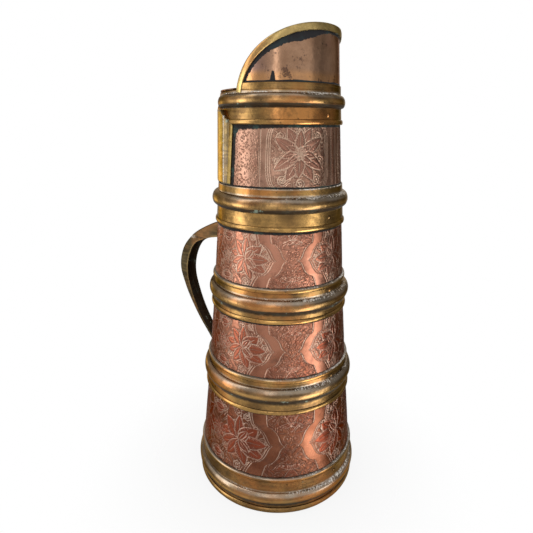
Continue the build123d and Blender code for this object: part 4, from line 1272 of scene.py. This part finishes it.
def build_knob():
    """Knob turned in one piece: peened shank, foot with a bead, waist, and a ball closed by a small tip."""
    ball = [(BALL_R * math.cos(t), BALL_UP + BALL_R * math.sin(t)) for t in np.linspace(-1.02, 1.45, 22)]
    profile = [(r, CROWN + z) for r, z in SHANK] + [(r, SEAT + z) for r, z in FOOT + ball + [(0.0, TIP_UP)]]
    radius, z = np.array(profile).T[:, :, None]
    marks = {"worn": 0.9 * step(z, SEAT + 8, SEAT + 15),
             "grime": 0.8 * near(np.abs(z - SEAT - 2.2), 0.2, 1.2)}
    piece("lid_knob_brass", around(whole_turn(KNOB_COLUMNS), radius, z), marks, BRASS_BRIGHT,
          "lid_knob", "brass_bright", close_rows=False, body="lid")


build_knob()

# %% [markdown]
# ## What stays as the frame made it
#
# Hinge, pin, rivets, base plate and the ledge inside the mouth have the right shape already, so
# their meshes are left alone and only take a finish.

# %% Finishes for the frame's own pieces
KEPT = {"base_plate": COPPER_INSIDE, "lid_rest": BRASS_DARK, "hoop_rivets": BRASS_HOOP,
        "hinge_bracket": BRASS_DARK, "bracket_rivets": BRASS_BRIGHT, "hinge_pin": BRASS_BRIGHT,
        "lid_leaf": BRASS_DARK, "leaf_rivets": BRASS_BRIGHT}
for node_name, finish in KEPT.items():
    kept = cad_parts[node_name]
    kept.data.materials.clear()
    kept.data.materials.append(finish)
print("finished in place:", ", ".join(KEPT))

# %% [markdown]
# ## Light and ground
#
# Polished metal shows what stands round it more than it shows its own colour. A plain white
# room would make the ewer look like painted card, so a photographer sets dark screens and
# narrow bright windows in it. The world here does the same: it is white, at the plain level of
# 1, for the camera and for all matt things, and a ray that comes from metal sees the same pale
# room with its screens and windows, painted as smooth patches of direction. A screen is given
# by its heading, its half-width and its shade. A window is given by its heading, half-width,
# lowest and highest angle and power, all angles in degrees.

# %% World
ROOM = 0.8
SCREENS = [(52.0, 44.0, 0.78), (178.0, 26.0, 0.5), (-96.0, 9.0, 0.3), (130.0, 22.0, 0.2)]
WINDOWS = [(9.0, 10.0, -21.0, -7.0, 4.2), (0.0, 17.0, -60.0, -21.0, 4.3), (19.0, 5.0, 1.0, 60.0, 0.2),
           (53.0, 20.0, 1.0, 60.0, 0.12), (-128.0, 11.0, -18.0, 2.0, 3.1), (-128.0, 11.0, 2.0, 60.0, 2.2),
           (-65.0, 3.0, 1.0, 60.0, 2.6), (167.0, 7.0, -13.0, 2.0, 2.2), (-160.0, 5.0, -10.0, 50.0, 0.6)]
SOFT = math.radians(5.0)


def world_light():
    """White world; for glossy rays its level is ROOM less the screens' shade plus the windows' light."""
    world = bpy.data.worlds.new("studio")
    bpy.context.scene.world = world
    world.use_nodes = True
    room = Nodes(world.node_tree)
    room.tree.nodes.clear()
    way = room.add("ShaderNodeSeparateXYZ")
    room.feed(way.inputs[0], room.add("ShaderNodeTexCoord").outputs["Generated"])
    heading = room.math("ARCTAN2", way.outputs[1], way.outputs[0])
    climb = room.math("ARCSINE", way.outputs[2])

    def soft(inside):
        """1 well inside a limit and 0 well outside, over a soft edge."""
        return room.math("MULTIPLY_ADD", inside, 0.5 / SOFT, 0.5, clamp=True)

    def upright(middle, half):
        """Soft share of a band that stands upright within half degrees of a heading."""
        turn = room.math("WRAP", room.minus(heading, math.radians(middle)), math.pi, -math.pi)
        return soft(room.minus(math.radians(half), room.math("ABSOLUTE", turn)))

    light = ROOM
    for middle, half, shade in SCREENS:
        light = room.times(light, room.minus(1.0, room.times(upright(middle, half), shade)))
    for middle, half, low, high, power in WINDOWS:
        over, under = room.minus(climb, math.radians(low)), room.minus(math.radians(high), climb)
        span = room.times(soft(over), soft(under))
        light = room.plus(light, room.times(room.times(span, upright(middle, half)), power))
    glossy = room.add("ShaderNodeLightPath").outputs["Is Glossy Ray"]
    strength = room.math("MULTIPLY_ADD", glossy, room.minus(light, 1.0), 1.0)
    shown = room.made("ShaderNodeBackground", {"Color": (1.0, 1.0, 1.0), "Strength": strength})
    room.feed(room.add("ShaderNodeOutputWorld").inputs[0], shown)


world_light()
bpy.context.scene.view_settings.view_transform = "Standard"
print("windows at", [w[0] for w in WINDOWS], "degrees")

# %% [markdown]
# The ewer stands on a pale floor. For the camera most of the floor's colour is plain white, so
# that only a faint shadow is left of it, and it fades out into the white world a little way off.

# %% Floor
FLOOR_R, FLOOR_DOWN = 0.9, 0.0002
FLOOR_FADE = (0.09, 0.24)
FLOOR_GREY, FLOOR_WHITE = (0.8, 0.8, 0.8), 0.85
FLOOR_POINTS = 96


def build_floor():
    """Disc whose shader goes from grey floor to plain white for the camera, then to clear with distance."""
    points = around(np.linspace(0, 2 * math.pi, FLOOR_POINTS, endpoint=False), FLOOR_R, -FLOOR_DOWN)
    mesh = bpy.data.meshes.new("floor")
    mesh.from_pydata(points.tolist(), [], [list(range(FLOOR_POINTS))])
    f = Finish("floor_white", 0.9, metallic=0.0)
    f.feed(f.shader.inputs["Base Color"], FLOOR_GREY)
    path, glow, clear = [f.add("ShaderNode" + kind) for kind in ("LightPath", "Emission", "BsdfTransparent")]
    seen = f.times(path.outputs["Is Camera Ray"], FLOOR_WHITE)
    away = f.made("ShaderNodeVectorMath", {0: f.place}, "Value", operation="LENGTH")
    white = f.made("ShaderNodeMixShader", {0: seen, 1: f.shader.outputs[0], 2: glow.outputs[0]})
    fade = f.made("ShaderNodeMixShader", {0: f.rise(away, *FLOOR_FADE), 1: white, 2: clear.outputs[0]})
    f.feed(f.tree.nodes["Material Output"].inputs["Surface"], fade)
    floor = bpy.data.objects.new("floor", mesh)
    floor.data.materials.append(f.material)
    bpy.context.collection.objects.link(floor)


build_floor()
print("floor radius", FLOOR_R, "m")
